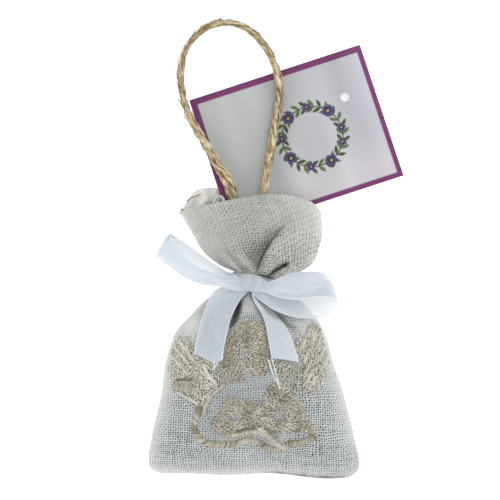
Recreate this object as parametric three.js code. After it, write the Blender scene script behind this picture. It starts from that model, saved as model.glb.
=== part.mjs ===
// A lavender sachet: a small linen bag filled with dried lavender and tied at the neck with a ribbon bow.
// A jute hanging loop and a bordered card stand in its mouth, and thread embroidery covers its front.
// The bag lies on its back: +X to the right, +Y from the bottom seam to the mouth, +Z out of the front.
// The origin is the middle of the flat patch of back cloth that the bag rests on. Lengths are millimetres.
import * as THREE from "three";

// Bag: lengths along Y, widths along X, heights above the surface it lies on
const BOTTOM_REACH = 23.2; // from the origin down to the bottom seam
const POUCH_LENGTH = 57.4; // bottom seam to the tied neck
const TIE_LENGTH = 4.8; // stretch of neck that the ribbon holds straight
const MOUTH_LENGTH = 24.5; // tied neck to the front rim, along the middle
const BASE_WIDTH = 65.6;
const WAIST_WIDTH = 57.0;
const SHOULDER_WIDTH = 46.6;
const NECK_WIDTH = 13.0;
const MOUTH_WIDTH = 42.8;
const NECK_SHIFT = -0.6; // the neck is tied a little left of the middle
const POUCH_HEIGHT = 23.8;
const NECK_HEIGHT = 10.4;
const NECK_LEVEL = 10.0; // middle of the neck above the surface
const MOUTH_HEIGHT = 11.0;
const MOUTH_LEVEL = 0.8; // lowest cloth of the mouth above the surface
const SEAM_LEVEL = 8.0; // side seams of the full pouch above the surface
const BOTTOM_SEAM_LEVEL = 5.0;
const BOTTOM_CORNER = 3.2; // how far the bottom corners are rounded up
const BOTTOM_DROOP = 1.4; // how far the right end of the bottom seam hangs below the left
const BACK_SAG = 4.0; // how far the filling would push the back below the surface if it were not there
const CLOTH = 0.8; // wall of a panel
const GATHERED_CLOTH = 1.6; // wall of a panel where the tie bunches it
const GATHER_DEPTH = 1.6;
const GATHER_REACH = 13.0;
const RIM_CROWN = 4.6; // the front rim rises this far above its corners
const BACK_RIM_CROWN = 6.8;
const BACK_CORNER_RISE = 2.6; // of the back rim, beside its left corner
const BACK_CORNER_PLACE = -0.6; // as a share of the way to the side seam
const BACK_CORNER_REACH = 0.26; // as such a share
const RIM_SLOPE = 0.8; // the right corner of the rim is higher than the left by twice this
const RIM_LEAN = 2.0; // the rim's crown leans to the right by this
const HEM_DEPTH = 4.5; // cloth turned in round the mouth
const HEM_MARGIN = 5; // of that cloth, short of the mouth's width
const SEAM_GAP = 0.3; // between pieces of cloth that lie on each other
const FILLING_MARGIN = 2.6; // seam allowance between the filling and the side seams
const FILLING_NECK_GAP = 5.0; // empty cloth between the filling and the tie
const FILLING_GAP = 1.0; // between the filling and the cloth

// Ribbon
const RIBBON = 0.5;
const WRAP_WIDTH = 4.2;
const KNOT_SIZE = new THREE.Vector3(7.2, 7.6, 4.6);
const KNOT_DROP = 0.6; // the knot sits this far below the middle of the tie
const RIBBON_GAP = 0.3;
const TAIL_FALL = 0.12; // how fast a tail drops from the knot to the cloth

// Hanging loop
const TWINE_DIAMETER = 2.6;
const TWINE_SIDES = 8;

// Card
const CARD_LENGTH = 56.1;
const CARD_HEIGHT = 43.5;
const CARD_THICKNESS = 0.5;
const CARD_TURN = THREE.MathUtils.degToRad(18.1);
const CARD_TILT = THREE.MathUtils.degToRad(7.2);
const CARD_CORNER = new THREE.Vector3(-6.2, 52.2, 5.6); // lower left corner, inside the mouth
const CARD_HOLE_DIAMETER = 2.8;
const CARD_HOLE_FROM_RIGHT = 9.6;
const CARD_HOLE_FROM_TOP = 14.3;

// Embroidery
const THREAD_GAP = 0.4;
const THREAD_HEIGHT = 0.5;
const OUTLINE_DIAMETER = 1.5;

const LINEN = { color: 0xd9d9d2, roughness: 0.95, metalness: 0 };
const FLOWERS = { color: 0x6f6287, roughness: 1, metalness: 0 };
const RIBBON_WHITE = { color: 0xe3e8f0, roughness: 0.45, metalness: 0 };
const JUTE = { color: 0xb99f78, roughness: 0.95, metalness: 0 };
const CARD_WHITE = { color: 0xd6d8da, roughness: 0.3, metalness: 0 };
const THREAD = { color: 0xb8a98a, roughness: 0.7, metalness: 0 };

const { lerp, clamp } = THREE.MathUtils;

// A curve through the given values that never overshoots them.
function smoothThrough(places, values) {
  const secant = (i) => (values[i + 1] - values[i]) / (places[i + 1] - places[i]);
  const last = places.length - 1;
  const slopes = places.map((_, i) => {
    if (i === 0) return secant(0);
    if (i === last) return secant(last - 1);
    const before = secant(i - 1);
    const after = secant(i);
    return before * after <= 0 ? 0 : (2 * before * after) / (before + after);
  });
  return (at) => {
    let i = 0;
    while (i < last - 1 && at > places[i + 1]) i++;
    const span = places[i + 1] - places[i];
    const u = clamp((at - places[i]) / span, 0, 1);
    const ease = u * u * (3 - 2 * u);
    const leaving = span * slopes[i] * u * (1 - u) * (1 - u);
    const arriving = span * slopes[i + 1] * u * u * (u - 1);
    return lerp(values[i], values[i + 1], ease) + leaving + arriving;
  };
}

// A closed solid between two surfaces a(u, v) and b(u, v), with walls round its edge. A list of u and v places
// sets the grid.
function slab(us, vs, a, b) {
  const rows = vs.length;
  const sheet = us.length * rows;
  const points = [];
  for (const surface of [a, b])
    for (const u of us) for (const v of vs) points.push(...surface(u, v).toArray());
  const at = (layer, i, j) => layer * sheet + i * rows + j;
  const faces = [];
  const quad = (p, q, r, s) => faces.push(p, q, r, p, r, s);
  const iEnd = us.length - 1;
  const jEnd = rows - 1;
  for (let i = 0; i < iEnd; i++)
    for (let j = 0; j < jEnd; j++) {
      quad(at(0, i, j), at(0, i + 1, j), at(0, i + 1, j + 1), at(0, i, j + 1));
      quad(at(1, i, j), at(1, i, j + 1), at(1, i + 1, j + 1), at(1, i + 1, j));
    }
  for (let i = 0; i < iEnd; i++) {
    quad(at(0, i, 0), at(1, i, 0), at(1, i + 1, 0), at(0, i + 1, 0));
    quad(at(0, i, jEnd), at(0, i + 1, jEnd), at(1, i + 1, jEnd), at(1, i, jEnd));
  }
  for (let j = 0; j < jEnd; j++) {
    quad(at(0, 0, j), at(0, 0, j + 1), at(1, 0, j + 1), at(1, 0, j));
    quad(at(0, iEnd, j), at(1, iEnd, j), at(1, iEnd, j + 1), at(0, iEnd, j + 1));
  }
  const geometry = new THREE.BufferGeometry();
  geometry.setAttribute("position", new THREE.Float32BufferAttribute(points, 3));
  geometry.setIndex(signedVolume(points, faces) < 0 ? faces.toReversed() : faces);
  geometry.computeVertexNormals();
  return geometry;
}

function signedVolume(points, faces) {
  const corner = (k) => new THREE.Vector3().fromArray(points, 3 * faces[k]);
  let sum = 0;
  for (let k = 0; k < faces.length; k += 3)
    sum += corner(k).dot(corner(k + 1).cross(corner(k + 2)));
  return sum / 6;
}

const evenly = (count, from = 0, to = 1) =>
  Array.from({ length: count + 1 }, (_, i) => lerp(from, to, i / count));

const root = new THREE.Group();

function addMesh(name, geometry, finish, parent = root) {
  const mesh = new THREE.Mesh(geometry, new THREE.MeshStandardMaterial(finish));
  mesh.name = name;
  parent.add(mesh);
  return mesh;
}

// Bag surfaces. A point of cloth is named by its share s of the way from the middle to a side seam, -1 to 1,
// and by its place y along the bag.
const bottomY = -BOTTOM_REACH;
const neckY = bottomY + POUCH_LENGTH;
const tieStart = neckY;
const tieEnd = neckY + TIE_LENGTH;
const tieMiddle = (tieStart + tieEnd) / 2;
const rimY = tieEnd + MOUTH_LENGTH;
const pouchAt = (share) => lerp(bottomY, tieStart, share);
const mouthAt = (share) => lerp(tieEnd, rimY, share);
const neckTop = NECK_LEVEL + NECK_HEIGHT / 2;
const neckBottom = NECK_LEVEL - NECK_HEIGHT / 2;
const mouthTop = MOUTH_LEVEL + MOUTH_HEIGHT;
const mouthSeam = MOUTH_LEVEL + 0.43 * MOUTH_HEIGHT;

const PLACES = [0, 0.06, 0.2, 0.42, 0.62, 0.76, 0.88, 0.955, 1].map(pouchAt);
PLACES.push(tieEnd, ...[0.04, 0.12, 0.3, 0.54, 1.1].map(mouthAt));
const widths = (...shares) => shares.map(([size, share]) => size * share);
const halfWidth = smoothThrough(
  PLACES,
  widths(
    [BASE_WIDTH, 0.487],
    [BASE_WIDTH, 0.5],
    [BASE_WIDTH, 0.48],
    [WAIST_WIDTH, 0.5],
    [WAIST_WIDTH, 0.452],
    [SHOULDER_WIDTH, 0.5],
    [SHOULDER_WIDTH, 0.392],
    [SHOULDER_WIDTH, 0.292],
    [NECK_WIDTH, 0.5],
    [NECK_WIDTH, 0.5],
    [MOUTH_WIDTH, 0.238],
    [MOUTH_WIDTH, 0.334],
    [MOUTH_WIDTH, 0.42],
    [MOUTH_WIDTH, 0.476],
    [MOUTH_WIDTH, 0.545],
  ),
);
// The middle line's shift to the right at each place
const POUCH_SHIFTS = [0.9, 0.6, 0.3, 0.2, -0.8, -0.7, 0.3, 0.2];
const MOUTH_SHIFTS = [4.6, 4.1, 2.6, 1.5, -3.6];
const SIDE_SHIFTS = [...POUCH_SHIFTS, NECK_SHIFT, NECK_SHIFT, ...MOUTH_SHIFTS];
const sideShift = smoothThrough(PLACES, SIDE_SHIFTS);
const seamLevel = smoothThrough(PLACES, [
  BOTTOM_SEAM_LEVEL,
  lerp(BOTTOM_SEAM_LEVEL, SEAM_LEVEL, 0.2),
  lerp(BOTTOM_SEAM_LEVEL, SEAM_LEVEL, 0.67),
  SEAM_LEVEL,
  lerp(SEAM_LEVEL, NECK_LEVEL, 0.25),
  lerp(SEAM_LEVEL, NECK_LEVEL, 0.5),
  lerp(SEAM_LEVEL, NECK_LEVEL, 0.75),
  lerp(SEAM_LEVEL, NECK_LEVEL, 0.9),
  NECK_LEVEL,
  NECK_LEVEL,
  lerp(NECK_LEVEL, mouthSeam, 0.05),
  lerp(NECK_LEVEL, mouthSeam, 0.16),
  lerp(NECK_LEVEL, mouthSeam, 0.42),
  lerp(NECK_LEVEL, mouthSeam, 0.72),
  mouthSeam,
]);
const frontLevel = smoothThrough(PLACES, [
  BOTTOM_SEAM_LEVEL + CLOTH + SEAM_GAP,
  lerp(BOTTOM_SEAM_LEVEL, POUCH_HEIGHT, 0.37),
  lerp(BOTTOM_SEAM_LEVEL, POUCH_HEIGHT, 0.75),
  lerp(BOTTOM_SEAM_LEVEL, POUCH_HEIGHT, 0.96),
  POUCH_HEIGHT,
  lerp(neckTop, POUCH_HEIGHT, 0.79),
  lerp(neckTop, POUCH_HEIGHT, 0.44),
  lerp(neckTop, POUCH_HEIGHT, 0.18),
  neckTop,
  neckTop,
  neckTop + 0.2,
  neckTop + 0.4,
  lerp(neckTop, mouthTop, 0.1),
  lerp(neckTop, mouthTop, 0.5),
  mouthTop,
]);
const backLevel = smoothThrough(PLACES, [
  BOTTOM_SEAM_LEVEL - CLOTH - SEAM_GAP,
  0.5,
  -0.8 * BACK_SAG,
  -BACK_SAG,
  -BACK_SAG,
  -0.8 * BACK_SAG,
  0.16 * neckBottom,
  0.55 * neckBottom,
  neckBottom,
  neckBottom,
  lerp(neckBottom, MOUTH_LEVEL, 0.1),
  lerp(neckBottom, MOUTH_LEVEL, 0.3),
  lerp(neckBottom, MOUTH_LEVEL, 0.62),
  lerp(neckBottom, MOUTH_LEVEL, 0.9),
  MOUTH_LEVEL,
]);

// How near the tie a place is, 1 at the tie and 0 well away from it.
function gathered(y) {
  const away = Math.max(0, tieStart - y, y - tieEnd);
  return Math.exp(-((away / GATHER_REACH) ** 2));
}

const wall = (y) => lerp(CLOTH, GATHERED_CLOTH, gathered(y) ** 6);

// The swell of a cross-section: 1 on the middle line and 0 at the side seams.
function swell(s, y) {
  const squareness = lerp(2.3, 2, gathered(y));
  const fullness = lerp(0.65, 0.5, gathered(y));
  return (1 - Math.min(1, Math.abs(s)) ** squareness) ** fullness;
}

// Folds that run out of the tie, as a depth below the smooth surface.
function gatherDepth(s, y) {
  return GATHER_DEPTH * gathered(y) * (0.5 - 0.5 * Math.cos(3 * Math.PI * s)) * (1 - s * s);
}

function frontHeight(s, y, inward = 0) {
  const lip = seamLevel(y) + SEAM_GAP / 2;
  const outer = lip + wall(y);
  const rise = Math.max(0, frontLevel(y) - outer) * swell(s, y) - gatherDepth(s, y);
  return outer + rise - inward;
}

function backHeight(s, y, inward = 0) {
  const outer = seamLevel(y) - SEAM_GAP / 2 - wall(y);
  const fall = Math.max(0, outer - backLevel(y)) * swell(s, y) - gatherDepth(s, y);
  return Math.max(0, outer - fall) + inward;
}

const acrossBag = (s, y) => sideShift(y) + halfWidth(y) * s;

// Height of the front cloth above any place of the plan.
function frontAt(x, y) {
  const s = clamp((x - sideShift(y)) / halfWidth(y), -1, 1);
  return frontHeight(s, y);
}

// The cut edges: the bottom seam is rounded up at its corners, and each rim is crowned in the middle.
function bottomEdge(s) {
  const past = clamp((Math.abs(s) - 0.86) / 0.14, 0, 1);
  const droop = BOTTOM_DROOP * THREE.MathUtils.smoothstep(s, 0.1, 0.85);
  return bottomY - droop + BOTTOM_CORNER * (1 - Math.sqrt(1 - past * past));
}

const FRONT_RIM = { crown: RIM_CROWN, cornerRise: 0 };
const BACK_RIM = { crown: BACK_RIM_CROWN, cornerRise: BACK_CORNER_RISE };

function rimEdge(s, rim) {
  const lean = RIM_SLOPE * s + RIM_LEAN * s * (1 - s * s);
  const corner = Math.exp(-(((s - BACK_CORNER_PLACE) / BACK_CORNER_REACH) ** 2));
  return rimY - RIM_CROWN + lean + rim.crown * (1 - Math.abs(s) ** 2.2) + rim.cornerRise * corner;
}

// Places along the bag with more of them at the bottom seam and near the tie, on the middle line.
const pouchRows = evenly(13).map((u) => pouchAt((1 - Math.cos(Math.PI * u)) / 2));
const mouthRows = evenly(8).map((u) => mouthAt(u ** 1.3));
const bagRows = [...pouchRows, tieMiddle, ...mouthRows];
const bagColumns = evenly(24, -1, 1).map((u) => Math.sin((Math.PI / 2) * u));

// A place on the middle line, moved so that the row follows the bottom seam or the rim at share s.
function followEdges(s, y, rim) {
  if (y > tieEnd) return lerp(tieEnd, rimEdge(s, rim), (y - tieEnd) / MOUTH_LENGTH);
  const towardsBottom = clamp((pouchAt(0.3) - y) / (pouchAt(0.3) - bottomY), 0, 1);
  return y + (bottomEdge(s) - bottomY) * towardsBottom ** 2;
}

function panelPoint(s, row, rim, height, inward) {
  const y = followEdges(s, row, rim);
  return new THREE.Vector3(acrossBag(s, y), y, height(s, y, inward(y)));
}

function addPanel(name, height, rim) {
  const outer = (s, row) => panelPoint(s, row, rim, height, () => 0);
  const inner = (s, row) => panelPoint(s, row, rim, height, wall);
  addMesh(name, slab(bagColumns, bagRows, outer, inner), LINEN);
}

// The rim's turned-in cloth, lying inside its panel.
function addHem(name, height, rim) {
  const hemRows = evenly(2, rimY - HEM_DEPTH, rimY);
  const hemColumns = bagColumns.map((s) => s * (1 - HEM_MARGIN / MOUTH_WIDTH));
  const near = (y) => wall(y) + SEAM_GAP;
  const far = (y) => near(y) + CLOTH;
  const outer = (s, row) => panelPoint(s, row, rim, height, near);
  const inner = (s, row) => panelPoint(s, row, rim, height, far);
  addMesh(name, slab(hemColumns, hemRows, outer, inner), LINEN);
}

function addFilling() {
  const rows = evenly(14, bottomY + FILLING_MARGIN, tieStart - FILLING_NECK_GAP);
  const columns = evenly(14, -1, 1).map((u) => Math.sin((Math.PI / 2) * u));
  const point = (height) => (u, y) => {
    const s = u * (1 - FILLING_MARGIN / halfWidth(y));
    const inward = wall(y) + FILLING_GAP;
    return new THREE.Vector3(acrossBag(s, y), y, height(s, y, inward));
  };
  addMesh("lavender_filling", slab(columns, rows, point(frontHeight), point(backHeight)), FLOWERS);
}

// Embroidery: patches of stitches that lie on the front cloth
function stitchSlab(us, vs, plan, height = THREAD_HEIGHT) {
  const lifted = (lift) => (u, v) => {
    const [x, y] = plan(u, v);
    return new THREE.Vector3(x, y, frontAt(x, y) + lift);
  };
  return slab(us, vs, lifted(THREAD_GAP + height), lifted(THREAD_GAP));
}

// A patch along a spine, with a half width at each share of its length.
function addSpinePatch(name, spinePoints, halfAt) {
  const spine = new THREE.SplineCurve(spinePoints.map(([x, y]) => new THREE.Vector2(x, y)));
  const plan = (u, v) => {
    const at = spine.getPoint(u);
    const along = spine.getTangent(u);
    const half = halfAt(u) * v;
    return [at.x - along.y * half, at.y + along.x * half];
  };
  addMesh(name, stitchSlab(evenly(10), evenly(4, -1, 1), plan), THREAD);
}

const BODICE_TOP = 26.0;
const BODICE_BOTTOM = 9.6;
const BODICE_HALF = 4.6;
const SKIRT_TOP = 8.6;
const SKIRT_BOTTOM = -8.6;
const SKIRT_TOP_HALF = 6.4;
const SKIRT_BOTTOM_HALF = 14.2;
const FIGURE_X = 1.6; // the figure's middle line
const SASH_HEIGHT = 2.4;
const SASH_HALF = 10.0;
const PATCH_GAP = 0.8;
// Wing spines from tip to root, as distances in from the side seam and places along the bag
const LEFT_WING = [[4.2, 18.2], [6.6, 10.6], [11.2, 5.2], [17.2, 2.4]];
const RIGHT_WING = [[3.6, 20.6], [6.0, 13.6], [9.6, 7.6], [13.4, 3.4]];
const LEFT_WING_HALF = 4.4;
const RIGHT_WING_HALF = 3.5;
const WING_TIP_HALF = 1.6;
// Where the outline passes under the sash, from the figure's middle line and the outline's low edge
const OUTLINE_BOW = [[-7.6, -0.6], [0, 0], [6.4, -2.6], [9.6, -0.8]];
const OUTLINE_LEFT_TOP = -2.2;
const OUTLINE_RIGHT_TOP = -0.6;
const OUTLINE_WAIST = -6.4; // where the outline is widest
const OUTLINE_SWELL = 1.2; // how far it swells there
const OUTLINE_CORNER = 0.8; // how far its lower corners are drawn in and up

// Half width of a wing, narrow at its tip and root.
const wingHalf = (widest) => (u) => lerp(WING_TIP_HALF, widest, Math.sin(Math.PI * (0.12 + 0.76 * u)));

function addEmbroidery() {
  const fromSeam = (side) => ([inset, y]) => [acrossBag(side, y) - side * inset, y];
  addSpinePatch("embroidery_wing_left", LEFT_WING.map(fromSeam(-1)), wingHalf(LEFT_WING_HALF));
  addSpinePatch("embroidery_wing_right", RIGHT_WING.map(fromSeam(1)), wingHalf(RIGHT_WING_HALF));
  const bodice = [[FIGURE_X - 1.4, BODICE_TOP], [FIGURE_X, BODICE_BOTTOM]];
  addSpinePatch("embroidery_bodice", bodice, (u) => lerp(0.8, 1, u) * BODICE_HALF);
  const skirt = [[FIGURE_X, SKIRT_TOP], [FIGURE_X, SKIRT_BOTTOM]];
  addSpinePatch("embroidery_skirt", skirt, (u) => lerp(SKIRT_TOP_HALF, SKIRT_BOTTOM_HALF, Math.sqrt(u)));
  const sashTop = SKIRT_BOTTOM - PATCH_GAP;
  const sash = [[FIGURE_X, sashTop], [FIGURE_X, sashTop - SASH_HEIGHT]];
  addSpinePatch("embroidery_sash", sash, () => SASH_HALF);
  addOutline(sashTop - SASH_HEIGHT - PATCH_GAP);
}

// A corded outline that runs round the skirt, with a small bow of cord at its lowest point.
function addOutline(top) {
  const side = SKIRT_BOTTOM_HALF + PATCH_GAP + OUTLINE_DIAMETER;
  const low = top - OUTLINE_DIAMETER;
  const plan = [
    [FIGURE_X - side, OUTLINE_LEFT_TOP],
    [FIGURE_X - side - OUTLINE_SWELL, OUTLINE_WAIST],
    [FIGURE_X - side + OUTLINE_CORNER, low + OUTLINE_CORNER],
    ...OUTLINE_BOW.map(([x, y]) => [FIGURE_X + x, low + y]),
    [FIGURE_X + side - OUTLINE_CORNER, low + OUTLINE_CORNER],
    [FIGURE_X + side + OUTLINE_SWELL, OUTLINE_WAIST],
    [FIGURE_X + side, OUTLINE_RIGHT_TOP],
  ];
  const spine = new THREE.SplineCurve(plan.map(([x, y]) => new THREE.Vector2(x, y)));
  const route = evenly(44).map((u) => {
    const { x, y } = spine.getPoint(u);
    return new THREE.Vector3(x, y, frontAt(x, y) + THREAD_GAP + 0.6 * OUTLINE_DIAMETER);
  });
  addTube("embroidery_outline", route, OUTLINE_DIAMETER, 6, 44, THREAD);
}

// A round tube along a smooth route.
function addTube(name, route, diameter, sides, steps, finish) {
  const ring = evenly(sides).slice(0, -1);
  const section = new THREE.Shape(ring.map((u) => polar(diameter / 2, u)));
  const extrudePath = new THREE.CatmullRomCurve3(route);
  addMesh(name, new THREE.ExtrudeGeometry(section, { steps, extrudePath }), finish);
}

function polar(radius, turn) {
  const angle = 2 * Math.PI * turn;
  return new THREE.Vector2(radius * Math.cos(angle), radius * Math.sin(angle));
}

// Ribbon: a wrap round the tied neck, a knot on top of it, two loops and two tails
const wrapInner = new THREE.Vector2(NECK_WIDTH / 2 + SEAM_GAP + 0.1, NECK_HEIGHT / 2 + SEAM_GAP + 0.1);
const wrapTop = NECK_LEVEL + wrapInner.y + RIBBON;
const knotCentre = new THREE.Vector3(
  NECK_SHIFT + 0.3,
  tieMiddle - KNOT_DROP,
  wrapTop + RIBBON_GAP + KNOT_SIZE.z / 2,
);

// A rounded oblong of the given half sizes.
function oblong(half) {
  const power = 2 / 2.6;
  const bend = (value) => Math.sign(value) * Math.abs(value) ** power;
  return evenly(32).slice(0, -1).map((u) => {
    const { x, y } = polar(1, u);
    return new THREE.Vector2(half.x * bend(x), half.y * bend(y));
  });
}

function addWrap() {
  const shape = new THREE.Shape(oblong(wrapInner.clone().addScalar(RIBBON)));
  shape.holes.push(new THREE.Path(oblong(wrapInner)));
  const geometry = new THREE.ExtrudeGeometry(shape, { depth: WRAP_WIDTH, bevelEnabled: false });
  const wrap = addMesh("ribbon_neck_wrap", geometry, RIBBON_WHITE);
  wrap.rotation.x = Math.PI / 2;
  wrap.position.set(NECK_SHIFT, tieMiddle + WRAP_WIDTH / 2, NECK_LEVEL);
}

function addKnot() {
  const geometry = new THREE.SphereGeometry(0.5, 20, 12);
  const place = geometry.getAttribute("position");
  const bend = (value) => Math.sign(value) * 0.5 * Math.abs(2 * value) ** 0.8;
  for (let i = 0; i < place.count; i++)
    place.setXYZ(i, bend(place.getX(i)), bend(place.getY(i)), bend(place.getZ(i)));
  const knot = addMesh("ribbon_knot", geometry, RIBBON_WHITE);
  knot.scale.copy(KNOT_SIZE);
  knot.position.copy(knotCentre);
}

// Ribbon between two edges, each a curve through points.
function addRibbon(name, edgeA, edgeB, steps) {
  const [curveA, curveB] = [edgeA, edgeB].map((points) => new THREE.CatmullRomCurve3(points));
  const middle = (u, v) => curveA.getPoint(u).lerp(curveB.getPoint(u), v);
  const across = (u) => curveB.getPoint(u).sub(curveA.getPoint(u));
  const along = (u) => curveA.getTangent(u).add(curveB.getTangent(u));
  const face = (side) => (u, v) =>
    middle(u, v).addScaledVector(along(u).cross(across(u)).normalize(), (side * RIBBON) / 2);
  addMesh(name, slab(evenly(steps), evenly(3), face(1), face(-1)), RIBBON_WHITE);
}

const fromKnot = ([x, y, z]) => knotCentre.clone().add(new THREE.Vector3(x, y, z));

// Loop edges, measured from the knot's middle: out along the front layer and back along the rear one.
const LEFT_LOOP_UPPER = [
  [-4.3, 1.9, 1.3], [-10.6, 3.4, 4.0], [-17.1, 6.2, 5.5], [-21.4, 9.6, 5.0], [-24.6, 14.6, 2.2],
  [-21.0, 12.6, 0.2], [-14.9, 8.6, -0.6], [-9.5, 5.0, -0.4], [-4.4, 2.1, 0.2],
];
const LEFT_LOOP_LOWER = [
  [-4.3, -1.6, 1.1], [-9.4, -0.6, 2.6], [-15.0, 0.1, 1.4], [-22.0, 3.2, -0.8], [-29.0, 8.8, -3.6],
  [-23.6, 6.6, -5.6], [-16.0, 3.6, -5.0], [-9.6, 1.2, -3.0], [-4.4, -1.4, -0.2],
];
const RIGHT_LOOP_UPPER = [
  [4.3, 1.6, 1.2], [12.1, 3.0, 1.4], [17.3, 3.7, 0.9], [21.8, 3.5, 0.0], [24.2, 1.6, -2.0],
  [20.5, -1.6, -4.0], [13.0, -3.4, -3.6], [7.6, -1.8, -2.0], [4.3, 1.0, -0.1],
];
const RIGHT_LOOP_LOWER = [
  [4.3, -1.5, 1.6], [10.5, -4.4, 4.4], [17.0, -4.3, 5.4], [22.0, -3.9, 5.0], [26.6, -5.4, 3.2],
  [23.6, -9.4, 1.4], [15.2, -10.6, 1.2], [8.0, -7.4, 1.3], [4.3, -2.2, 0.4],
];

// Tail edges in plan, measured from the knot's middle: from the knot to the cut end.
const LEFT_TAIL_OUTER = [[-3.4, -4.2], [-10.2, -5.6], [-14.4, -10.0], [-16.6, -16.6], [-17.4, -21.1]];
const LEFT_TAIL_INNER = [[-1.2, -4.6], [-3.2, -8.6], [-5.2, -13.4], [-6.9, -18.8], [-7.7, -22.9]];
const RIGHT_TAIL_INNER = [[0.6, -4.6], [2.4, -7.6], [4.2, -11.4], [5.2, -16.6], [6.3, -22.4]];
const RIGHT_TAIL_OUTER = [[2.8, -4.4], [7.1, -8.6], [11.1, -13.7], [13.1, -18.0], [14.6, -23.6]];

// A tail falls gently from the knot until it lies on the stitched front.
const tailClearance = THREAD_GAP + THREAD_HEIGHT + RIBBON_GAP + RIBBON;
function tailPoint([x, y]) {
  const place = fromKnot([x, y, 0]);
  const resting = frontAt(place.x, place.y) + tailClearance;
  const falling = knotCentre.z - 0.4 - TAIL_FALL * Math.hypot(x, y);
  return place.setZ(Math.max(resting, falling));
}

// A tail edge with a point every few millimetres, each lying on the cloth.
function tailEdge(plan) {
  const spine = new THREE.SplineCurve(plan.map(([x, y]) => new THREE.Vector2(x, y)));
  return evenly(9).map((u) => tailPoint(spine.getPoint(u).toArray()));
}

function addBow() {
  addWrap();
  addKnot();
  addRibbon("ribbon_loop_left", LEFT_LOOP_UPPER.map(fromKnot), LEFT_LOOP_LOWER.map(fromKnot), 26);
  addRibbon("ribbon_loop_right", RIGHT_LOOP_UPPER.map(fromKnot), RIGHT_LOOP_LOWER.map(fromKnot), 26);
  addRibbon("ribbon_tail_left", tailEdge(LEFT_TAIL_OUTER), tailEdge(LEFT_TAIL_INNER), 12);
  addRibbon("ribbon_tail_right", tailEdge(RIGHT_TAIL_INNER), tailEdge(RIGHT_TAIL_OUTER), 12);
}

// Hanging loop: from the mouth over the card, round on the surface and back, then its two held ends
const LOOP_ROUTE = [
  [-6.2, 64.0, 7.7], [-7.4, 67.8, 7.1], [-10.4, 72.7, 6.1], [-13.5, 77.8, 5.1], [-17.2, 84.1, 3.9],
  [-20.3, 90.5, 2.7], [-22.0, 97.2, 1.9], [-22.2, 102.3, 1.7], [-21.2, 107.6, 1.6], [-19.0, 111.7, 1.6],
  [-15.9, 114.9, 1.6], [-12.4, 116.9, 1.6], [-8.4, 117.6, 1.6], [-4.4, 116.9, 1.6], [-0.6, 115.0, 1.6],
  [2.6, 112.0, 1.7], [5.1, 108.6, 1.9], [7.0, 104.6, 2.2], [8.1, 100.6, 2.5], [8.4, 96.4, 3.0],
  [8.2, 92.2, 3.5], [7.5, 87.4, 4.1], [6.7, 82.9, 4.7], [5.8, 78.2, 5.4], [5.0, 73.6, 6.1],
  [4.2, 69.0, 6.9], [3.75, 65.1, 7.7],
];
const LEFT_END = [[-6.1, 63.5, 7.8], [-5.2, 57.0, 8.6], [-3.4, 48.0, 9.6], [-2.3, 41.0, 10.0], [-2.2, 34.0, 10.0]];
const RIGHT_END = [[3.7, 64.7, 7.8], [3.4, 57.0, 8.7], [2.2, 48.0, 9.6], [1.1, 41.0, 10.0], [1.0, 34.0, 10.0]];

function addHangingLoop() {
  const vectors = (points) => points.map((p) => new THREE.Vector3(...p));
  addTube("hanging_loop", vectors(LOOP_ROUTE), TWINE_DIAMETER, TWINE_SIDES, 44, JUTE);
  addTube("loop_end_left", vectors(LEFT_END), TWINE_DIAMETER, TWINE_SIDES, 9, JUTE);
  addTube("loop_end_right", vectors(RIGHT_END), TWINE_DIAMETER, TWINE_SIDES, 9, JUTE);
}

// Card: a plain oblong with one punched hole, its lower left corner tucked in the mouth
function addCard() {
  const shape = new THREE.Shape();
  shape.moveTo(0, 0);
  shape.lineTo(CARD_LENGTH, 0);
  shape.lineTo(CARD_LENGTH, CARD_HEIGHT);
  shape.lineTo(0, CARD_HEIGHT);
  shape.closePath();
  const holeX = CARD_LENGTH - CARD_HOLE_FROM_RIGHT;
  const holeY = CARD_HEIGHT - CARD_HOLE_FROM_TOP;
  shape.holes.push(new THREE.Path().absarc(holeX, holeY, CARD_HOLE_DIAMETER / 2, 0, 2 * Math.PI));
  const geometry = new THREE.ExtrudeGeometry(shape, { depth: CARD_THICKNESS, bevelEnabled: false });
  const turned = new THREE.Group();
  turned.position.copy(CARD_CORNER);
  turned.rotation.z = CARD_TURN;
  root.add(turned);
  addMesh("tag_card", geometry, CARD_WHITE, turned).rotation.x = -CARD_TILT;
}

addPanel("front_panel", frontHeight, FRONT_RIM);
addPanel("back_panel", backHeight, BACK_RIM);
addHem("front_hem", frontHeight, FRONT_RIM);
addHem("back_hem", backHeight, BACK_RIM);
addFilling();
addEmbroidery();
addBow();
addHangingLoop();
addCard();

export default root;
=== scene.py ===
"""Looks of a lavender sachet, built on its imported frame.

The bag lies on its back: +X to the right, +Y from the bottom seam to the mouth, +Z out of the front.
Shapes are worked out in millimetres and turned into metres as their meshes are made.
"""

import math

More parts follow.
